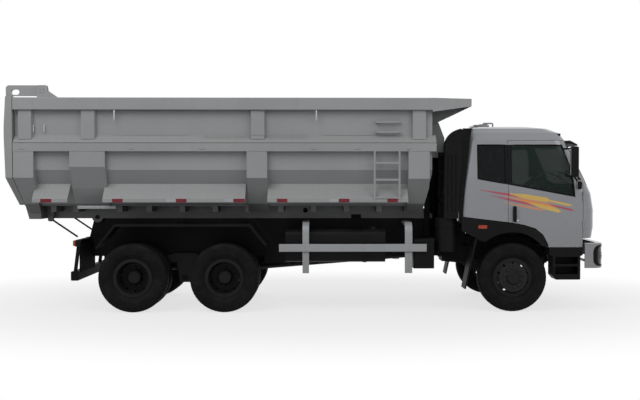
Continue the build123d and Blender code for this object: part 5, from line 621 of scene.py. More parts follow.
class TRUCK_OT_finishes(bpy.types.Operator):
    """Build every finish and put it on the frame's pieces"""

    bl_idname = "truck.finishes"
    bl_label = "Finishes"

    def execute(self, context):
        paint = context.scene.truck_paint
        dark = tuple(paint.plastic)
        FINISHES.update({
            "bed_paint": load_wear_and_shade(paint, "bed_paint", tuple(paint.bed)),
            "cab_paint": cab_paint(paint, "cab_paint"),
            "guard_paint": body_paint(paint, "guard_paint", tuple(paint.guard), 0.30, 0.9, 0.4),
            "chassis_paint": black_paint(paint, "chassis_paint", tuple(paint.frame), 0.42, 0.12),
            "tank_paint": black_paint(paint, "tank_paint", shade(tuple(paint.frame), 1.2), 0.30, 0.10),
            "rim_paint": black_paint(paint, "rim_paint", shade(tuple(paint.frame), 2.2), 0.34, 0.14, 1.9),
            "cast_iron": cast_iron("cast_iron"),
            "black_plastic": grained_plastic(paint, "black_plastic", dark, 260.0, 0.42),
            "cabin_trim": grained_plastic(paint, "cabin_trim", shade(dark, 3.2), 200.0, 0.55),
            "soft_rubber": grained_plastic(paint, "soft_rubber", shade(dark, 0.8), 320.0, 0.60),
            "tyre_rubber": tyre_rubber(paint, "tyre_rubber"),
            "seat_fabric": woven_fabric("seat_fabric", (0.040, 0.046, 0.055)),
            "window_glass": window_glass("window_glass"),
            "headlamp_lens": lamp_glass("headlamp_lens", (0.022, 0.024, 0.026), 30.0),
            "amber_lens": lamp_glass("amber_lens", (0.30, 0.030, 0.010), 60.0),
            "red_lens": lamp_glass("red_lens", (0.40, 0.010, 0.010), 60.0),
            "clear_lens": lamp_glass("clear_lens", (0.50, 0.52, 0.54), 30.0),
            "chromed_rod": chromed_rod("chromed_rod"),
            "red_tape": reflective_tape(paint, "red_tape", tuple(paint.tape)),
            "white_tape": reflective_tape(paint, "white_tape", (0.27, 0.28, 0.29)),
            "mirror_face": mirror_face("mirror_face"),
            "zinc": body_paint(paint, "zinc", (0.42, 0.43, 0.44), 0.35, 0.3, 0.1),
            "plate_blank": body_paint(paint, "plate_blank", (0.45, 0.45, 0.44), 0.30, 0.7, 0.1),
        })
        slots = {row["node"]: row["material_slot"] for row in frame["record"]["subparts"]}
        for name, node in NODES.items():
            dress(node, NODE_FINISHES[slots[name]])
        return {"FINISHED"}


# ---------------------------------------------------------------- tyres
# radius and half width of each station, from the bead over the shoulder to the middle of the tread
SIDEWALL = (
    (0.2545, 0.0890), (0.2900, 0.0895), (0.3000, 0.1005), (0.3080, 0.1030), (0.3320, 0.1235), (0.3520, 0.1320),
    (0.3560, 0.1345), (0.3620, 0.1350), (0.3820, 0.1385), (0.4180, 0.1365), (0.4240, 0.1372), (0.4400, 0.1345),
    (0.4570, 0.1310), (0.4620, 0.1318), (0.4800, 0.1205), (0.4960, 0.1130), (0.5060, 0.1010),
)
TREAD = (
    (0.5105, 0.0900), (0.5130, 0.0700), (0.5145, 0.0560), (0.5150, 0.0500), (0.5150, 0.0260), (0.5150, 0.0190),
)
# parts of the tread across its width, from its middle: grooves, gaps between the lugs, and cuts in the blocks
GROOVE_STRIPS = ((0.0500, 0.0560), (0.0190, 0.0260))
LUG_INNER = 0.0560
SIPE_STRIP = (0.0260, 0.0500)
SHOULDER_RADIUS = 0.5060
SEGMENTS_PER_BLOCK = 4
TYRE_HALF_WIDTH = 0.139
SINGLE_WIDTH = 0.4             # a node narrower than this holds one tyre
TWIN_TURN = 0.11               # the second tyre of a pair is turned by this, in radians


def tyre_mesh(sizes):
    """One treaded tyre about the origin, its axle along y."""
    half = list(SIDEWALL) + list(TREAD)
    points = [(r, w, 0.0) for r, w in half] + [(r, -w, 0.0) for r, w in reversed(half)]
    mesh = bpy.data.meshes.new("tyre")
    mesh.from_pydata(points, [(i, (i + 1) % len(points)) for i in range(len(points))], [])
    tyre = stand_up("tyre", mesh)
    steps = sizes.tread_blocks * SEGMENTS_PER_BLOCK
    bpy.ops.object.mode_set(mode="EDIT")
    bpy.ops.mesh.select_all(action="SELECT")
    bpy.ops.mesh.spin(steps=steps, angle=2 * pi, center=(0, 0, 0), axis=(0, 1, 0))
    bpy.ops.mesh.select_all(action="SELECT")
    bpy.ops.mesh.remove_doubles(threshold=0.0001)
    bpy.ops.mesh.normals_make_consistent(inside=False)
    bpy.ops.mesh.select_all(action="DESELECT")
    form = bmesh.from_edit_mesh(mesh)
    for face in form.faces:
        middle = face.calc_center_median()
        radius = math.hypot(middle.x, middle.z)
        if radius < SHOULDER_RADIUS:
            continue
        across = abs(middle.y)
        turn = math.atan2(middle.z, middle.x) / (2 * pi) * steps
        offset = 0 if middle.y > 0 else SEGMENTS_PER_BLOCK // 2
        segment = (math.floor(turn) + offset) % SEGMENTS_PER_BLOCK
        in_strip = any(low < across < high for low, high in GROOVE_STRIPS)
        in_lug_gap = segment == 0 and across > LUG_INNER
        in_sipe = segment == 2 and SIPE_STRIP[0] < across < SIPE_STRIP[1]
        face.select = in_strip or in_lug_gap or in_sipe
    bmesh.update_edit_mesh(mesh)
    bpy.ops.mesh.extrude_region_shrink_fatten(TRANSFORM_OT_shrink_fatten={"value": -sizes.tread_depth})
    bpy.ops.object.mode_set(mode="OBJECT")
    bpy.ops.object.shade_smooth_by_angle(angle=radians(32))
    return tyre


class TRUCK_OT_tyres(bpy.types.Operator):
    """Put a treaded tyre in the place of each plain one"""

    bl_idname = "truck.tyres"
    bl_label = "Tyres"

    def execute(self, context):
        pattern = tyre_mesh(context.scene.truck_sizes)
        wheels = [(f"front_tyre_{side}", f"front_wheel_{side}", sign) for side, sign in SIDES]
        for axle in REAR_AXLES:
            wheels += [(f"{axle}_tyres_{side}", f"{axle}_wheels_{side}", sign) for side, sign in SIDES]
        for node, body, sign in wheels:
            low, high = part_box(node)
            x, z = (low[0] + high[0]) / 2, (low[2] + high[2]) / 2
            single = high[1] - low[1] < SINGLE_WIDTH
            middles = [low[1] + TYRE_HALF_WIDTH, high[1] - TYRE_HALF_WIDTH]
            if single:
                middles = [(low[1] + high[1]) / 2]
            copies = []
            for index, y in enumerate(middles):
                copy = pattern.copy()
                copy.data = pattern.data.copy()
                bpy.context.scene.collection.objects.link(copy)
                copy.rotation_euler = (0, TWIN_TURN * index, 0)
                copy.location = (x, y, z)
                copies.append(copy)
            gather(copies)
            tyre = settle(f"{node}_treaded", "tyre_rubber", body)
            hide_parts(node)
        bpy.data.objects.remove(pattern)
        return {"FINISHED"}


# ---------------------------------------------------------------- reflective tape on the shelves
# rear x, front x and finish of each strip along the shelves' lips
TAPE_STRIPS = (
    (-3.939, -3.775, "red_tape"), (-2.884, -2.727, "red_tape"), (-1.942, -1.785, "red_tape"),
    (-1.093, -0.925, "red_tape"), (-0.450, -0.295, "red_tape"), (0.468, 0.625, "red_tape"),
    (1.188, 1.345, "red_tape"), (-2.090, -1.946, "white_tape"), (-1.230, -1.097, "white_tape"),
    (0.324, 0.464, "white_tape"),
)
# foot and top of the strips, and their two faces
TAPE_Z = (1.646, 1.698)
TAPE_Y = (1.2402, 1.2412)


class TRUCK_OT_tape(bpy.types.Operator):
    """Stick reflective tape along the lips of the deflector shelves"""

    bl_idname = "truck.tape"
    bl_label = "Reflective tape"

    def execute(self, context):
        for side, sign in SIDES:
            for finish, slot in (("red_tape", "lamp_amber"), ("white_tape", "guard_white")):
                gather([side_block((rear, front), TAPE_Y, TAPE_Z, sign, 0.0003, 1)
                        for rear, front, kind in TAPE_STRIPS if kind == finish])
                settle(f"{finish}_{side}", finish, "bed")
        return {"FINISHED"}


# ---------------------------------------------------------------- seals and wipers of the cab
# corners of the openings (x, z), as the panels are cut
DOOR_WINDOW = ((3.045, 2.492), (3.045, 1.918), (3.985, 1.735), (3.935, 2.110), (3.800, 2.492))
SIDE_WINDOW = ((2.545, 2.492), (2.545, 1.998), (2.950, 1.926), (2.950, 2.492))
# windscreen: half width and height of its foot and head; nothing of it lies behind SCREEN_REAR_X
SCREEN_FOOT = (1.085, 1.905)
SCREEN_HEAD = (1.010, 2.525)
SCREEN_REAR_X = 3.5
SKIN_INNER_Y = 1.0
SEAL_PROUD = 0.004
SIDE_SEAL_GAP, SIDE_SEAL_STEP = 0.008, 0.08
SCREEN_SEAL_GAP, SCREEN_SEAL_STEP = 0.010, 0.09
# wipers: (y of the pivot, y of the arm's tip); z and lift off the glass of each point
WIPERS = ((-0.55, 0.05), (0.10, 0.72))
ARM_POINTS = ((1.885, 0.012), (1.965, 0.030), (2.060, 0.024))
BLADE_POINTS = ((-0.34, 2.000, 0.016), (0.0, 2.060, 0.018), (0.28, 2.110, 0.016))


def walk(corners, step):
    """Points along a closed outline, no further apart than step."""
    points = []
    for index, (x, z) in enumerate(corners):
        next_x, next_z = corners[(index + 1) % len(corners)]
        count = max(1, round(math.hypot(next_x - x, next_z - z) / step))
        points += [(x + (next_x - x) * k / count, z + (next_z - z) * k / count) for k in range(count)]
    return points


def grown(corners, gap):
    """The outline moved outwards from its middle by about gap."""
    cx = sum(x for x, _ in corners) / len(corners)
    cz = sum(z for _, z in corners) / len(corners)
    reach = [math.hypot(x - cx, z - cz) for x, z in corners]
    return [(cx + (x - cx) * (1 + gap / r), cz + (z - cz) * (1 + gap / r)) for (x, z), r in zip(corners, reach)]


class TRUCK_OT_seals(bpy.types.Operator):
    """Run a rubber seal round each side window and the windscreen"""

    bl_idname = "truck.seals"
    bl_label = "Window seals"

    def execute(self, context):
        radius = context.scene.truck_sizes.seal / 2
        for side, sign in SIDES:
            for name, corners, node, body in (("door_seal", DOOR_WINDOW, f"door_{side}", f"door_{side}"),
                                              ("quarter_seal", SIDE_WINDOW, f"cab_side_{side}", "cab")):
                line = []
                for x, z in walk(grown(corners, SIDE_SEAL_GAP), SIDE_SEAL_STEP):
                    y = surface_y(node, sign, x, z)
                    if y is not None and abs(y) > SKIN_INNER_Y:
                        line.append((x, y - sign * (radius - SEAL_PROUD), z))
                rod(line, radius, closed=True)
                settle(f"{name}_{side}", "soft_rubber", body)
        corners = [(sign * y, z) for sign, (y, z) in ((-1, SCREEN_FOOT), (1, SCREEN_FOOT), (1, SCREEN_HEAD),
                                                      (-1, SCREEN_HEAD))]
        line = []
        for y, z in walk(grown(corners, SCREEN_SEAL_GAP), SCREEN_SEAL_STEP):
            x = front_x("cab_front", y, z)
            if x is not None and x > SCREEN_REAR_X:
                line.append((x - radius + SEAL_PROUD, y, z))
        rod(line, radius, closed=True)
        settle("windscreen_seal", "soft_rubber", "cab")
        return {"FINISHED"}


class TRUCK_OT_wipers(bpy.types.Operator):
    """Lay the wiper arms and blades at the foot of the windscreen"""

    bl_idname = "truck.wipers"
    bl_label = "Wipers"

    def execute(self, context):
        def on_screen(y, z, lift):
            x = front_x("cab_glass", y, z) or front_x("cab_front", y, z)
            return (x + lift, y, z)

        for index, (pivot_y, tip_y) in enumerate(WIPERS):
            ys = (pivot_y, (pivot_y + tip_y) / 2, tip_y)
            arm = rod([on_screen(y, z, lift) for y, (z, lift) in zip(ys, ARM_POINTS)], 0.006)
            blade = rod([on_screen(tip_y + shift, z, lift) for shift, z, lift in BLADE_POINTS], 0.009)
            boss = round_bar(on_screen(pivot_y, ARM_POINTS[0][0], 0.006), 0.020, 0.030, "X", 20, 0.004)
            gather([arm, blade, boss])
            settle(f"wiper_{index}", "black_plastic", "cab")
        return {"FINISHED"}


# ---------------------------------------------------------------- seats
SEAT_Y = 0.52
PAD_VOXEL = 0.011
PAD_PRESSURE = 4.0
PAD_FRAMES = 12
SWELL_LIMIT = 0.012
# sewn channels: half width, and what is left there of the pad's thickness and width
CHANNEL_HALF, CHANNEL_DEPTH, CHANNEL_PULL = 0.010, 0.80, 0.985
CHANNEL_ROWS = 4
CHANNEL_FELT = 0.002           # points this near to a channel's middle are pulled in
PAD_ROUNDING = 0.32            # of the pad's thickness
# name; middle x and z; length, half width and thickness; tilt about the truck's width in degrees
SEAT_PADS = (
    ("cushion", 3.185, 1.676, 0.500, 0.245, 0.125, -2.0),
    ("back", 2.825, 1.985, 0.640, 0.240, 0.110, -82.0),
    ("headrest", 2.777, 2.478, 0.200, 0.130, 0.090, -88.0),
)
SEAT_BOX_X, SEAT_BOX_Y, SEAT_BOX_Z = (2.985, 3.355), (0.35, 0.69), (1.396, 1.612)
STALK_HALF, STALK_FOOT, STALK_HEAD = 0.05, (2.80, 2.26), (2.785, 2.42)
# mattress of the bunk: middle; length, half width and thickness
MATTRESS = ((2.505, 0.0, 1.640), 0.200, 1.020, 0.150)
BUNK_BOX = ((2.400, -1.045, 1.397), (2.615, 1.045, 1.566))


def swollen_pad(middle, length_x, half_y, thickness, tilt, rows):
    """A sewn pad: rounded, blown up with cloth, its swelling capped, then smoothed."""
    deselect()
    bpy.ops.mesh.primitive_cube_add(size=1, location=(0, 0, 0), scale=(length_x, 2 * half_y, thickness))
    pad = bpy.context.object
    bpy.ops.object.transform_apply(location=True, rotation=True, scale=True)
    apply_modifier(pad, "BEVEL", width=thickness * PAD_ROUNDING, segments=3, limit_method="ANGLE")
    # sewn channels across the pad
    bpy.ops.object.mode_set(mode="EDIT")
    bpy.ops.mesh.select_all(action="SELECT")
    lines = [-length_x / 2 + length_x * row / rows for row in range(1, rows)]
    for x in lines:
        for offset in (-CHANNEL_HALF, 0.0, CHANNEL_HALF):
            bpy.ops.mesh.select_all(action="SELECT")
            bpy.ops.mesh.bisect(plane_co=(x + offset, 0, 0), plane_no=(1, 0, 0))
    bpy.ops.mesh.select_all(action="DESELECT")
    form = bmesh.from_edit_mesh(pad.data)
    for vertex in form.verts:
        vertex.select = any(abs(vertex.co.x - x) < CHANNEL_FELT for x in lines)
        if vertex.select:
            vertex.co.z *= CHANNEL_DEPTH
            vertex.co.y *= CHANNEL_PULL
    bmesh.update_edit_mesh(pad.data)
    bpy.ops.object.mode_set(mode="OBJECT")
    pad.data.remesh_voxel_size = PAD_VOXEL
    bpy.ops.object.voxel_remesh()
    start = [vertex.co.copy() for vertex in pad.data.vertices]
    cloth = pad.modifiers.new("Cloth", "CLOTH")
    cloth.settings.use_pressure = True
    cloth.settings.uniform_pressure_force = PAD_PRESSURE
    cloth.settings.effector_weights.gravity = 0.0
    cloth.settings.quality = 4
    for frame_number in range(1, PAD_FRAMES + 1):
        bpy.context.scene.frame_set(frame_number)
    bpy.ops.object.modifier_apply(modifier=cloth.name)
    bpy.context.scene.frame_set(1)
    for vertex, origin in zip(pad.data.vertices, start):
        shift = vertex.co - origin
        if shift.length > SWELL_LIMIT:
            vertex.co = origin + shift * (SWELL_LIMIT / shift.length)
    apply_modifier(pad, "SUBSURF", levels=1)
    pad.rotation_euler = (0, radians(tilt), 0)
    pad.location = middle
    bpy.ops.object.transform_apply(location=True, rotation=True, scale=True)
    bpy.ops.object.shade_smooth()
    return pad


class TRUCK_OT_seats(bpy.types.Operator):
    """Sew the seats and the bunk, and set them on their boxes"""

    bl_idname = "truck.seats"
    bl_label = "Seats"

    def execute(self, context):
        pieces = []
        for name, x, z, span, half, thickness, tilt in SEAT_PADS:
            for side, sign in SIDES:
                rows = 1 if name == "headrest" else CHANNEL_ROWS
                swollen_pad((x, sign * SEAT_Y, z), span, half, thickness, tilt, rows)
                pad = settle(f"seat_{name}_{side}", "seat_fabric", "cab")
                pieces.append(pad)
        swollen_pad(*MATTRESS, 0.0, 1)
        bunk = settle("bunk_mattress", "seat_fabric", "cab")
        for side, sign in SIDES:
            side_block(SEAT_BOX_X, SEAT_BOX_Y, SEAT_BOX_Z, sign, 0.02, 3)
            pieces.append(settle(f"seat_box_{side}", "black_plastic", "cab"))
            gather([rod([(x, sign * SEAT_Y + shift, z) for x, z in (STALK_FOOT, STALK_HEAD)], 0.006)
                    for shift in (-STALK_HALF, STALK_HALF)])
            settle(f"headrest_stalks_{side}", "chromed_rod", "cab")
        block(*BUNK_BOX, 0.02, 3)
        pieces += [bunk, settle("bunk_box", "cabin_trim", "cab")]
        for piece in pieces:
            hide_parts("seats")
        return {"FINISHED"}


# ---------------------------------------------------------------- bolts
CROSS_MEMBERS_X = (-3.05, -1.918, -0.70, 0.50, 1.50, 2.271, 3.871)
RAIL_Y = 0.4305
RAIL_BOLTS_Z = (0.86, 0.98)
GATE_HINGE = (-3.905, 1.2385, 3.290)
HINGE_BOLTS = 0.032            # radius of the circle of bolts round the tailgate's hinge pin
WASHER_SPREAD = 1.35           # of the head's radius
HEAD_OUT, EDGE_SHARE = 0.45, 0.12             # of the head's height


def bolt_row(places, axis, radius, height, name, finish, body, slot):
    """Hexagon heads with washers at the given places."""
    heads = []
    for place in places:
        heads.append(round_bar(place, radius * WASHER_SPREAD, height * 0.5, axis, 18, height * EDGE_SHARE))
        tip = list(place)
        index = "XYZ".index(axis)
        tip[index] += height * HEAD_OUT * (1 if place[index] > 0 else -1)
        heads.append(round_bar(tip, radius, height, axis, 6, height * EDGE_SHARE))
    gather(heads)
    return settle(name, finish, body)


class TRUCK_OT_bolts(bpy.types.Operator):
    """Put the bolt heads on the rails, brackets and body hinges"""

    bl_idname = "truck.bolts"
    bl_label = "Bolt heads"

    def execute(self, context):
        for side, sign in SIDES:
            rows = []
            for x in CROSS_MEMBERS_X:
                rows += [(x + dx, sign * RAIL_Y, z) for dx in (-0.05, 0.05) for z in RAIL_BOLTS_Z]
            bolt_row(rows, "Y", 0.013, 0.012, f"rail_bolts_{side}", "chassis_paint", "chassis", "chassis_black")
            x, y, z = GATE_HINGE
            hinge = [(x + HINGE_BOLTS * cos(turn), sign * y, z + HINGE_BOLTS * sin(turn))
                     for turn in (pi / 4 + k * pi / 2 for k in range(4))]
            bolt_row(hinge, "Y", 0.007, 0.008, f"gate_hinge_bolts_{side}", "bed_paint", "bed", "bed_grey")
        return {"FINISHED"}


# ---------------------------------------------------------------- wheels
NUT_CIRCLE = 0.1425
NUTS = 10
NUT_SIZE = (0.016, 0.026)                     # radius and height
VALVE_POINTS = ((-0.004, 0.190), (0.022, 0.200), (0.034, 0.215))     # out of the disc, and up from the axle
VALVE_RADIUS = 0.005
AXLE_LINES = {"front": 3.071, "rear_front": -1.238, "rear_rear": -2.598}
AXLE_HEIGHT = 0.515
RIM_RING = (0.105, 0.246)                     # inner and outer radius of the lighter ring of the front wheels
SHIELD_INNER = 0.158
SHIELD_DEPTH = 0.0175                         # behind the face of the disc
SHIELD_GAP = 0.003                            # to the wall of the rim
SHIELD_THICKNESS = 0.004
RING_SIDES = 64


def closed_ring(rows):
    """Ring-shaped solid through rows of points that each run once round it."""
    shape = bmesh.new()
    rings = [[shape.verts.new(point) for point in row] for row in rows]
    count = len(rows[0])
    for first, second in zip(rings, rings[1:] + rings[:1]):
        for k in range(count):
            shape.faces.new((first[k], first[(k + 1) % count], second[(k + 1) % count], second[k]))
    bmesh.ops.recalc_face_normals(shape, faces=shape.faces)
    deselect()
    bpy.ops.mesh.primitive_plane_add()
    piece = bpy.context.object
    shape.to_mesh(piece.data)
    shape.free()
    return piece


def ring_plate(centre, inner, outer, depth):
    """Flat ring across the truck, with the hole in its middle."""
    x, y, z = centre
    near, far = y - depth / 2, y + depth / 2
    turns = [2 * pi * k / RING_SIDES for k in range(RING_SIDES)]
    return closed_ring([[(x + radius * cos(turn), place, z + radius * sin(turn)) for turn in turns]
                        for radius, place in ((inner, near), (outer, near), (outer, far), (inner, far))])


class TRUCK_OT_wheel_nuts(bpy.types.Operator):
    """Put the nuts and the tyre valve on every wheel, and a brake shield behind the front discs"""

    bl_idname = "truck.wheel_nuts"
    bl_label = "Wheel nuts"

    def execute(self, context):
        for axle, x in AXLE_LINES.items():
            for side, sign in SIDES:
                node = f"{axle}_rim_{side}"
                body = f"front_wheel_{side}" if axle == "front" else f"{axle}_wheels_{side}"
                places = []
                for k in range(NUTS):
                    turn = 2 * pi * (k + 0.5) / NUTS
                    place = (x + NUT_CIRCLE * cos(turn), AXLE_HEIGHT + NUT_CIRCLE * sin(turn))
                    places.append((place[0], surface_y(node, sign, *place), place[1]))
                bolt_row(places, "Y", *NUT_SIZE, f"{axle}_nuts_{side}", "rim_paint", body, "rim")
                start = surface_y(node, sign, x, AXLE_HEIGHT + VALVE_POINTS[0][1])
                rod([(x, start + sign * out, AXLE_HEIGHT + up) for out, up in VALVE_POINTS], VALVE_RADIUS)
                settle(f"{axle}_valve_{side}", "chromed_rod", body)
                if axle == "front":
                    depth = surface_y(node, sign, x + NUT_CIRCLE, AXLE_HEIGHT) - sign * SHIELD_DEPTH
                    _, wall, _, _ = NODES[node].ray_cast(Vector((x + SHIELD_INNER, depth, AXLE_HEIGHT)),
                                                         Vector((1, 0, 0)))
                    ring_plate((x, depth, AXLE_HEIGHT), SHIELD_INNER, wall.x - x - SHIELD_GAP, SHIELD_THICKNESS)
                    settle(f"brake_shield_{side}", "cast_iron", body)
        return {"FINISHED"}


# ---------------------------------------------------------------- lamps and mirrors
# lens of the tail lamp: finish, share of the lamp's width from its outer end
TAIL_LENSES = (("amber_lens", 0.00, 0.30), ("red_lens", 0.31, 0.76), ("clear_lens", 0.77, 1.00))
TAIL_LAMP = (0.752, 1.028, 0.990, 1.060)      # inner y, outer y, foot and top
TAIL_FACE = -3.518
LENS_PROUD, LENS_SUNK = 0.006, 0.004
# glass of the mirrors: name, rear face of the case, middle z and half height
MIRRORS = (("high", 3.882, 2.245, 0.19608), ("low", 3.978, 1.898, 0.05074))
MIRROR_GLASS_Y = (1.318, 1.362)
MIRROR_DEPTH = (0.001, 0.006)                 # out of the case's rear face, and into it
# bowls of the headlamps: middle y and z, and radius
BOWLS = ((1.000, 0.845, 0.062), (1.135, 0.845, 0.046))
BOWL_RIM = 0.006
BULB_RADIUS = 0.020


class TRUCK_OT_lamps(bpy.types.Operator):
    """Give the tail lamps their lenses, the headlamps their bowls and surrounds, the mirrors their glass"""

    bl_idname = "truck.lamps"
    bl_label = "Lamps and mirrors"

    def execute(self, context):
        inner, outer, foot, top = TAIL_LAMP
        for side, sign in SIDES:
            for finish, start, end in TAIL_LENSES:
                ys = [outer - share * (outer - inner) for share in (start, end)]
                side_block((TAIL_FACE - LENS_PROUD, TAIL_FACE + LENS_SUNK), ys, (foot, top), sign, 0.004, 2)
                settle(f"tail_{finish}_{side}", finish, "chassis")
            for place, x, z, rise in MIRRORS:
                side_block((x - MIRROR_DEPTH[0], x + MIRROR_DEPTH[1]), MIRROR_GLASS_Y, (z - rise, z + rise),
                           sign, 0.003, 2)
                settle(f"mirror_{place}_{side}", "mirror_face", f"door_{side}")
            rings = []
            for y, z, radius in BOWLS:
                x = front_x("headlamps", sign * y, z)
                if x is None:
                    continue
                deselect()
                bpy.ops.mesh.primitive_torus_add(location=(x - 0.002, sign * y, z), rotation=(0, pi / 2, 0),
                                                 major_radius=radius, minor_radius=BOWL_RIM, major_segments=40,
                                                 minor_segments=10)
                bpy.ops.object.transform_apply(location=True, rotation=True, scale=True)
                rings.append(bpy.context.object)
                rings.append(round_bar((x - 0.001, sign * y, z), BULB_RADIUS, 0.008, "X", 24, 0.003))
            headlamp_surround(sign)
            settle(f"headlamp_surround_{side}", "black_plastic", "chassis")
            if rings:
                gather(rings)
                settle(f"headlamp_rings_{side}", "chromed_rod", "chassis")
        return {"FINISHED"}


# headlamp surround, as (middle along the bumper's plan, half length, half height) of its two outlines
BEZEL_OUTER = (1.106, 0.201, 0.160)
BEZEL_INNER = (1.087, 0.150, 0.140)
BEZEL_MIDDLE = 0.845
BEZEL_PROUD = 0.005
BEZEL_SUNK = -0.002
BEZEL_POWER = 0.55                            # 1 gives an ellipse, and less a squarer outline
BUMPER_BEND = (4.250, 1.028, 0.190)           # centre of the corner's bend from above, and its radius
BUMPER_BOW = 0.026


def bumper_point(reach, z, side, proud):
    """The point of the bumper's face at a distance along its plan from the truck's middle."""
    x, y, bend = BUMPER_BEND
    turn = max(0.0, (reach - y) / bend)
    bow = BUMPER_BOW * (1.0 - min(reach / y, 1.0) ** 2)
    flat = min(reach, y)
    return (x + (bend + proud) * cos(turn) + bow, side * (flat + (bend + proud) * sin(turn)), z)


def headlamp_surround(side):
    """Black frame round a headlamp, bent with the corner of the bumper."""
    rows = []
    for (middle, half, rise), proud in ((BEZEL_OUTER, BEZEL_SUNK), (BEZEL_OUTER, BEZEL_PROUD),
                                        (BEZEL_INNER, BEZEL_PROUD), (BEZEL_INNER, BEZEL_SUNK)):
        row = []
        for k in range(RING_SIDES):
            turn = 2 * pi * k / RING_SIDES
            along, up = (math.copysign(abs(value) ** BEZEL_POWER, value) for value in (cos(turn), sin(turn)))
            row.append(bumper_point(middle + half * along, BEZEL_MIDDLE + rise * up, side, proud))
        rows.append(row)
    return closed_ring(rows)


# ---------------------------------------------------------------- behind the cab
# front edge of the intake's trunk and rear edge of the cab, from the filter up: (x, z)
TRUNK_EDGE = ((2.262, 1.330), (2.262, 1.560), (2.266, 1.824), (2.294, 2.100), (2.312, 2.350), (2.326, 2.600),
              (2.318, 2.745))
CAB_BACK = ((2.296, 1.330), (2.304, 1.560), (2.326, 1.824), (2.356, 2.100), (2.379, 2.350), (2.406, 2.600),
            (2.436, 2.745))
LIP_Y = -1.178
LIP_REACH = 0.018            # past the flat of the cab's back, beside its rounded corner
LIP_OVERLAP = 0.004
LIP_THICKNESS = 0.008
# post under the trunk: its size, its arms out to the trunk and its foot in to the rail
POST_X = (2.005, 2.080)
POST_Y = (0.730, 0.800)
POST_Z = (0.985, 2.400)
ARM_ROWS = (1.640, 2.060, 2.340)
ARM_END_Y = 0.995
ARM_HEIGHT = 0.050
FOOT_END_Y = 0.440
FOOT_HEIGHT = 0.060
# plates beside the rails: behind the front wheel, at the valves, and the guides at the front of the bed; the
# black plates are partly painted shade, filling the shaded gaps there
PLATES = (((2.120, 2.470), (0.700, 1.340), 0.470), ((-0.690, -0.280), (0.662, 0.940), 0.440),
          ((1.815, 1.905), (1.085, 1.735), 0.500))
PLATE_THICKNESS = 0.006


class TRUCK_OT_intake_trim(bpy.types.Operator):
    """Fit the lip that closes the intake to the cab, the trunk's post and the plates beside the rails"""

    bl_idname = "truck.intake_trim"
    bl_label = "Intake lip, post and plates"

    def execute(self, context):
        corners = [(x - LIP_OVERLAP, z) for x, z in TRUNK_EDGE]
        corners += [(x + LIP_REACH, z) for x, z in reversed(CAB_BACK)]
        lip = bpy.data.meshes.new("lip")
        lip.from_pydata([(x, LIP_Y, z) for x, z in corners], [], [range(len(corners))])
        piece = stand_up("lip", lip)
        apply_modifier(piece, "SOLIDIFY", thickness=LIP_THICKNESS, offset=0.0)
        apply_modifier(piece, "BEVEL", width=0.002, segments=2, limit_method="ANGLE")
        close_up()
        settle("intake_lip", "soft_rubber", "chassis")
        post = [block((POST_X[0], -POST_Y[1], POST_Z[0]), (POST_X[1], -POST_Y[0], POST_Z[1]), 0.008, 3)]
        for z in ARM_ROWS:
            post.append(block((POST_X[0] + 0.012, -ARM_END_Y, z),
                              (POST_X[1] - 0.012, -POST_Y[1] + 0.004, z + ARM_HEIGHT), 0.005, 2))
        post.append(block((POST_X[0] - 0.01, -POST_Y[1], POST_Z[0]),
                          (POST_X[1] + 0.01, -FOOT_END_Y, POST_Z[0] + FOOT_HEIGHT), 0.006, 2))
        gather(post)
        settle("intake_post", "chassis_paint", "chassis")
        # black plates, partly painted shade in the shaded gaps beside the rails
        for side, sign in SIDES:
            gather([side_block(xs, (y, y + PLATE_THICKNESS), zs, sign, 0.002, 1) for xs, zs, y in PLATES])
            settle(f"side_plates_{side}", "chassis_paint", "chassis")
        return {"FINISHED"}


# ---------------------------------------------------------------- details of the bed
# places along the bed, points (y, z) and bar radius of the hooks for the cover and of the rear rings
COVER_HOOKS = ((-2.845, 0.136), ((1.226, 3.010), (1.240, 2.985), (1.240, 2.880), (1.228, 2.862), (1.208, 2.866)),
               0.011)
REAR_RINGS = ((-4.050, -3.890), ((1.146, 2.790), (1.180, 2.780), (1.180, 2.690), (1.146, 2.680)), 0.007)
# ledge under the rear post
LEDGE_X = (-3.430, -2.860)
LEDGE_Y = (1.040, 1.105)
LEDGE_Z = (1.545, 1.590)
WEB_Y = (0.364, 0.369)
WEB_RISE = 0.062
BEAD_SPANS = ((-2.880, -1.75), (-1.55, 0.0), (0.25, 1.30))
# beads under the top rail and over the middle one: height, and where the wall is felt for
BEAD_ROWS = ((3.004, 2.974), (2.644, 2.674))
# webs behind the beam's openings, black as painted shade for the shaded inside of the beam: middle x and z, and
# half length
HOLE_PLATES = ((-0.042, 1.500, 0.060), (0.752, 1.407, 0.110))


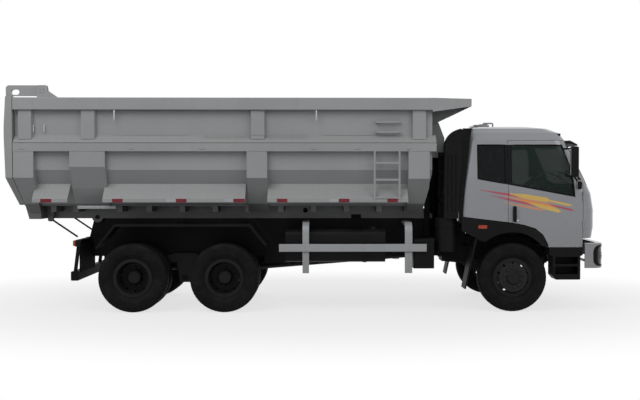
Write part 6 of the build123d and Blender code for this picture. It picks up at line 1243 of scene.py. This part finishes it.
class TRUCK_OT_bed_details(bpy.types.Operator):
    """Add the hooks, the webs behind the beam's openings, the ledges and the weld beads"""

    bl_idname = "truck.bed_details"
    bl_label = "Bed details"

    def execute(self, context):
        for side, sign in SIDES:
            gather([rod([(x, sign * y, z) for y, z in points], radius)
                    for places, points, radius in (COVER_HOOKS, REAR_RINGS) for x in places])
            settle(f"cover_hooks_{side}", "zinc", "bed")
            # black webs behind the beam's openings: they stand for the beam's inner side, with its shade painted
            # as black
            gather([side_block((x - half, x + half), WEB_Y, (z - WEB_RISE, z + WEB_RISE), sign, 0.001, 1)
                    for x, z, half in HOLE_PLATES])
            settle(f"beam_webs_{side}", "chassis_paint", "bed")
            side_block(LEDGE_X, LEDGE_Y, LEDGE_Z, sign, 0.004, 2)
            settle(f"post_ledge_{side}", "guard_paint", "bed")
            beads = []
            for low, high in BEAD_SPANS:
                middle = (low + high) / 2
                for z, wall_z in BEAD_ROWS:
                    y = surface_y(f"bed_side_{side}", sign, middle, wall_z)
                    beads.append(rod([(low, y, z), (middle, y + sign * 0.001, z), (high, y, z)], 0.005))
            gather(beads)
            settle(f"weld_beads_{side}", "bed_paint", "bed")
        return {"FINISHED"}


# ---------------------------------------------------------------- small fittings
# mud flap behind the rear wheels
FLAP_X = (-3.385, -3.377)
FLAP_Y = (0.300, 1.180)
FLAP_Z = (0.600, 1.015)
# rope hooks: their places along the bed, and the points of one on the left
ROPE_HOOKS_X = (-4.20, -2.60, -1.55, 0.10, 0.75, 1.50)
ROPE_HOOK = ((-0.035, 1.2475, 2.452), (-0.035, 1.2515, 2.440), (0.0, 1.2515, 2.428), (0.035, 1.2515, 2.440),
             (0.035, 1.2475, 2.452))
ROPE_HOOK_RADIUS = 0.006
# roof lamp: where the roof is felt for (x, z), its length, height and half thickness
ROOF_LAMP = (3.784, 2.655)
ROOF_LAMP_X = (3.755, 3.815)
ROOF_LAMP_Z = (2.640, 2.676)
ROOF_LAMP_HALF = 0.012
DOOR_LOCK = (3.135, 1.372)
DOOR_LOCK_RADIUS = 0.012
# rail of the roof vent: half spacing of its loops, and a loop's points (x, z)
VENT_HALF = 0.20
VENT_LOOP = ((2.790, 2.790), (2.790, 2.862), (2.806, 2.878), (2.935, 2.878), (2.949, 2.864), (2.949, 2.780))
VENT_CROSS = (2.862, 2.878)
PLATE_BLANK_HALF = 0.26
PLATE_BLANK_Z = (0.82, 0.94)


class TRUCK_OT_fittings(bpy.types.Operator):
    """Add the mud flaps, rope hooks, roof lamps, door locks, the vent's rail and the plate blank"""

    bl_idname = "truck.fittings"
    bl_label = "Small fittings"

    def execute(self, context):
        for side, sign in SIDES:
            side_block(FLAP_X, FLAP_Y, FLAP_Z, sign, 0.003, 2)
            settle(f"mud_flap_{side}", "soft_rubber", "chassis")
            gather([rod([(x + along, sign * y, z) for along, y, z in ROPE_HOOK], ROPE_HOOK_RADIUS)
                    for x in ROPE_HOOKS_X])
            settle(f"rope_hooks_{side}", "bed_paint", "bed")
            y = surface_y("cab_roof", sign, *ROOF_LAMP)
            block((ROOF_LAMP_X[0], y - ROOF_LAMP_HALF, ROOF_LAMP_Z[0]),
                  (ROOF_LAMP_X[1], y + ROOF_LAMP_HALF, ROOF_LAMP_Z[1]), 0.010, 3)
            settle(f"roof_lamp_{side}", "black_plastic", "cab")
            x, z = DOOR_LOCK
            round_bar((x, surface_y(f"door_{side}", sign, x, z), z), DOOR_LOCK_RADIUS, 0.008, "Y", 24, 0.002)
            settle(f"door_lock_{side}", "chromed_rod", f"door_{side}")
        loops = [rod([(x, y, z) for x, z in VENT_LOOP], 0.013) for y in (-VENT_HALF, VENT_HALF)]
        loops.append(rod([(VENT_CROSS[0], y, VENT_CROSS[1]) for y in (-VENT_HALF, VENT_HALF)], 0.011))
        gather(loops)
        settle("roof_vent_rail", "cab_paint", "cab")
        x = front_x("front_bumper", 0, sum(PLATE_BLANK_Z) / 2)
        block((x - 0.006, -PLATE_BLANK_HALF, PLATE_BLANK_Z[0]), (x + 0.0003, PLATE_BLANK_HALF, PLATE_BLANK_Z[1]),
              0.002, 2)
        settle("front_plate_blank", "plate_blank", "chassis")
        return {"FINISHED"}


# ---------------------------------------------------------------- stage
CAMERA_PLACE = (0.2431, -14.3315, 2.0103)
CAMERA_YAW = 0.0141
CAMERA_PITCH = -0.0253
CAMERA_LENS = 49.70
CAMERA_SHIFT = -0.0252
FLOOR_SIZE = 120
FLOOR_WHITE = 0.72
FLOOR_NEAR = 2.0
FLOOR_FAR = 5.2
FLOOR_DARK, FLOOR_PALE = (0.44, 0.44, 0.44), (0.48, 0.48, 0.48)
SKY_STRENGTH = 0.62
# soft lamps: name, place, size and power
LAMPS = (
    ("key", (-6.0, -9.0, 11.0), 8.0, 900.0),
    ("fill", (9.0, -8.0, 7.0), 7.0, 380.0),
    ("back", (0.0, 10.0, 9.0), 8.0, 380.0),
)
LAMP_AIM = Vector((0, 0, 1.4))


def seen_directly(tree):
    """1 for rays from the camera, off gloss and through glass."""
    path = tree.nodes.new("ShaderNodeLightPath")
    seen = path.outputs["Is Camera Ray"]
    for kind in ("Is Glossy Ray", "Is Transmission Ray"):
        either = tree.nodes.new("ShaderNodeMath")
        either.operation = "MAXIMUM"
        tree.links.new(seen, either.inputs[0])
        tree.links.new(path.outputs[kind], either.inputs[1])
        seen = either.outputs[0]
    return seen


def blend(tree, share, first, second, end):
    """Mix two shaders by share, into the surface of an output."""
    mixed = tree.nodes.new("ShaderNodeMixShader")
    tree.links.new(share, mixed.inputs[0])
    tree.links.new(first.outputs[0], mixed.inputs[1])
    tree.links.new(second.outputs[0], mixed.inputs[2])
    tree.links.new(mixed.outputs[0], end.inputs["Surface"])


class TRUCK_OT_stage(bpy.types.Operator):
    """Set out the floor, the soft lights and the camera"""

    bl_idname = "truck.stage"
    bl_label = "Stage"

    def execute(self, context):
        deselect()
        bpy.ops.mesh.primitive_plane_add(size=FLOOR_SIZE, location=(0, 0, -0.001))
        floor = bpy.context.object
        floor.name = "floor"
        bpy.ops.object.transform_apply(location=True, rotation=True, scale=True)
        kit = ShaderKit("pale_floor")
        cloud = kit.noise(0.4, 3.0)
        kit.set(Base_Color=kit.mix(cloud, FLOOR_DARK, FLOOR_PALE), Roughness=0.9)
        white = kit.tree.nodes.new("ShaderNodeEmission")
        # white far from the truck, with the soft shadow kept near it
        far = ((kit.x * kit.x) * 0.35 + kit.y * kit.y).fade(FLOOR_NEAR ** 2, FLOOR_FAR ** 2)
        seen = Value(kit, seen_directly(kit.tree)) * (far * (1.0 - FLOOR_WHITE) + FLOOR_WHITE)
        blend(kit.tree, seen.socket, kit.surface, white, kit.tree.nodes["Material Output"])
        floor.data.materials.append(kit.material)

        world = bpy.data.worlds.new("soft_sky")
        context.scene.world = world
        world.use_nodes = True
        tree = world.node_tree
        sky, white = tree.nodes["Background"], tree.nodes.new("ShaderNodeBackground")
        for light, strength in ((sky, SKY_STRENGTH), (white, 1.0)):
            light.inputs["Color"].default_value = (1.0, 1.0, 1.0, 1.0)
            light.inputs["Strength"].default_value = strength
        blend(tree, seen_directly(tree), sky, white, tree.nodes["World Output"])

        for name, place, size, power in LAMPS:
            lamp = bpy.data.lights.new(name, "AREA")
            lamp.size = size
            lamp.energy = power
            stand = bpy.data.objects.new(name, lamp)
            stand.location = place
            stand.rotation_euler = (LAMP_AIM - Vector(place)).to_track_quat("-Z", "Y").to_euler()
            context.scene.collection.objects.link(stand)

        camera = bpy.data.cameras.new("camera")
        camera.lens = CAMERA_LENS
        camera.shift_x = CAMERA_SHIFT
        camera.clip_end = 200.0
        holder = bpy.data.objects.new("camera", camera)
        holder.location = CAMERA_PLACE
        holder.rotation_euler = (pi / 2 + CAMERA_PITCH, 0.0, -CAMERA_YAW)
        context.scene.collection.objects.link(holder)
        context.scene.camera = holder
        context.scene.view_settings.view_transform = "Standard"
        return {"FINISHED"}


# ---------------------------------------------------------------- panel and registration
OPERATORS = (
    TRUCK_OT_finishes,
    TRUCK_OT_tyres,
    TRUCK_OT_tape,
    TRUCK_OT_seals,
    TRUCK_OT_wipers,
    TRUCK_OT_seats,
    TRUCK_OT_bolts,
    TRUCK_OT_wheel_nuts,
    TRUCK_OT_lamps,
    TRUCK_OT_intake_trim,
    TRUCK_OT_bed_details,
    TRUCK_OT_fittings,
    TRUCK_OT_stage,
)


class TRUCK_PT_panel(bpy.types.Panel):
    """Lists the steps that finish the truck"""

    bl_idname = "TRUCK_PT_panel"
    bl_label = "Dump truck"
    bl_space_type = "VIEW_3D"
    bl_region_type = "UI"
    bl_category = "Truck"

    def draw(self, context):
        for step in OPERATORS:
            self.layout.operator(step.bl_idname)
        for group in (context.scene.truck_paint, context.scene.truck_sizes):
            for key in group.__annotations__:
                self.layout.prop(group, key)


CLASSES = (TruckPaint, TruckSizes, *OPERATORS, TRUCK_PT_panel)


def register():
    for entry in CLASSES:
        bpy.utils.register_class(entry)
    bpy.types.Scene.truck_paint = bpy.props.PointerProperty(type=TruckPaint)
    bpy.types.Scene.truck_sizes = bpy.props.PointerProperty(type=TruckSizes)


def unregister():
    del bpy.types.Scene.truck_sizes
    del bpy.types.Scene.truck_paint
    for entry in reversed(CLASSES):
        bpy.utils.unregister_class(entry)


def main():
    register()
    for step in OPERATORS:
        family, name = step.bl_idname.split(".")
        getattr(getattr(bpy.ops, family), name)()


if __name__ == "__main__":
    main()
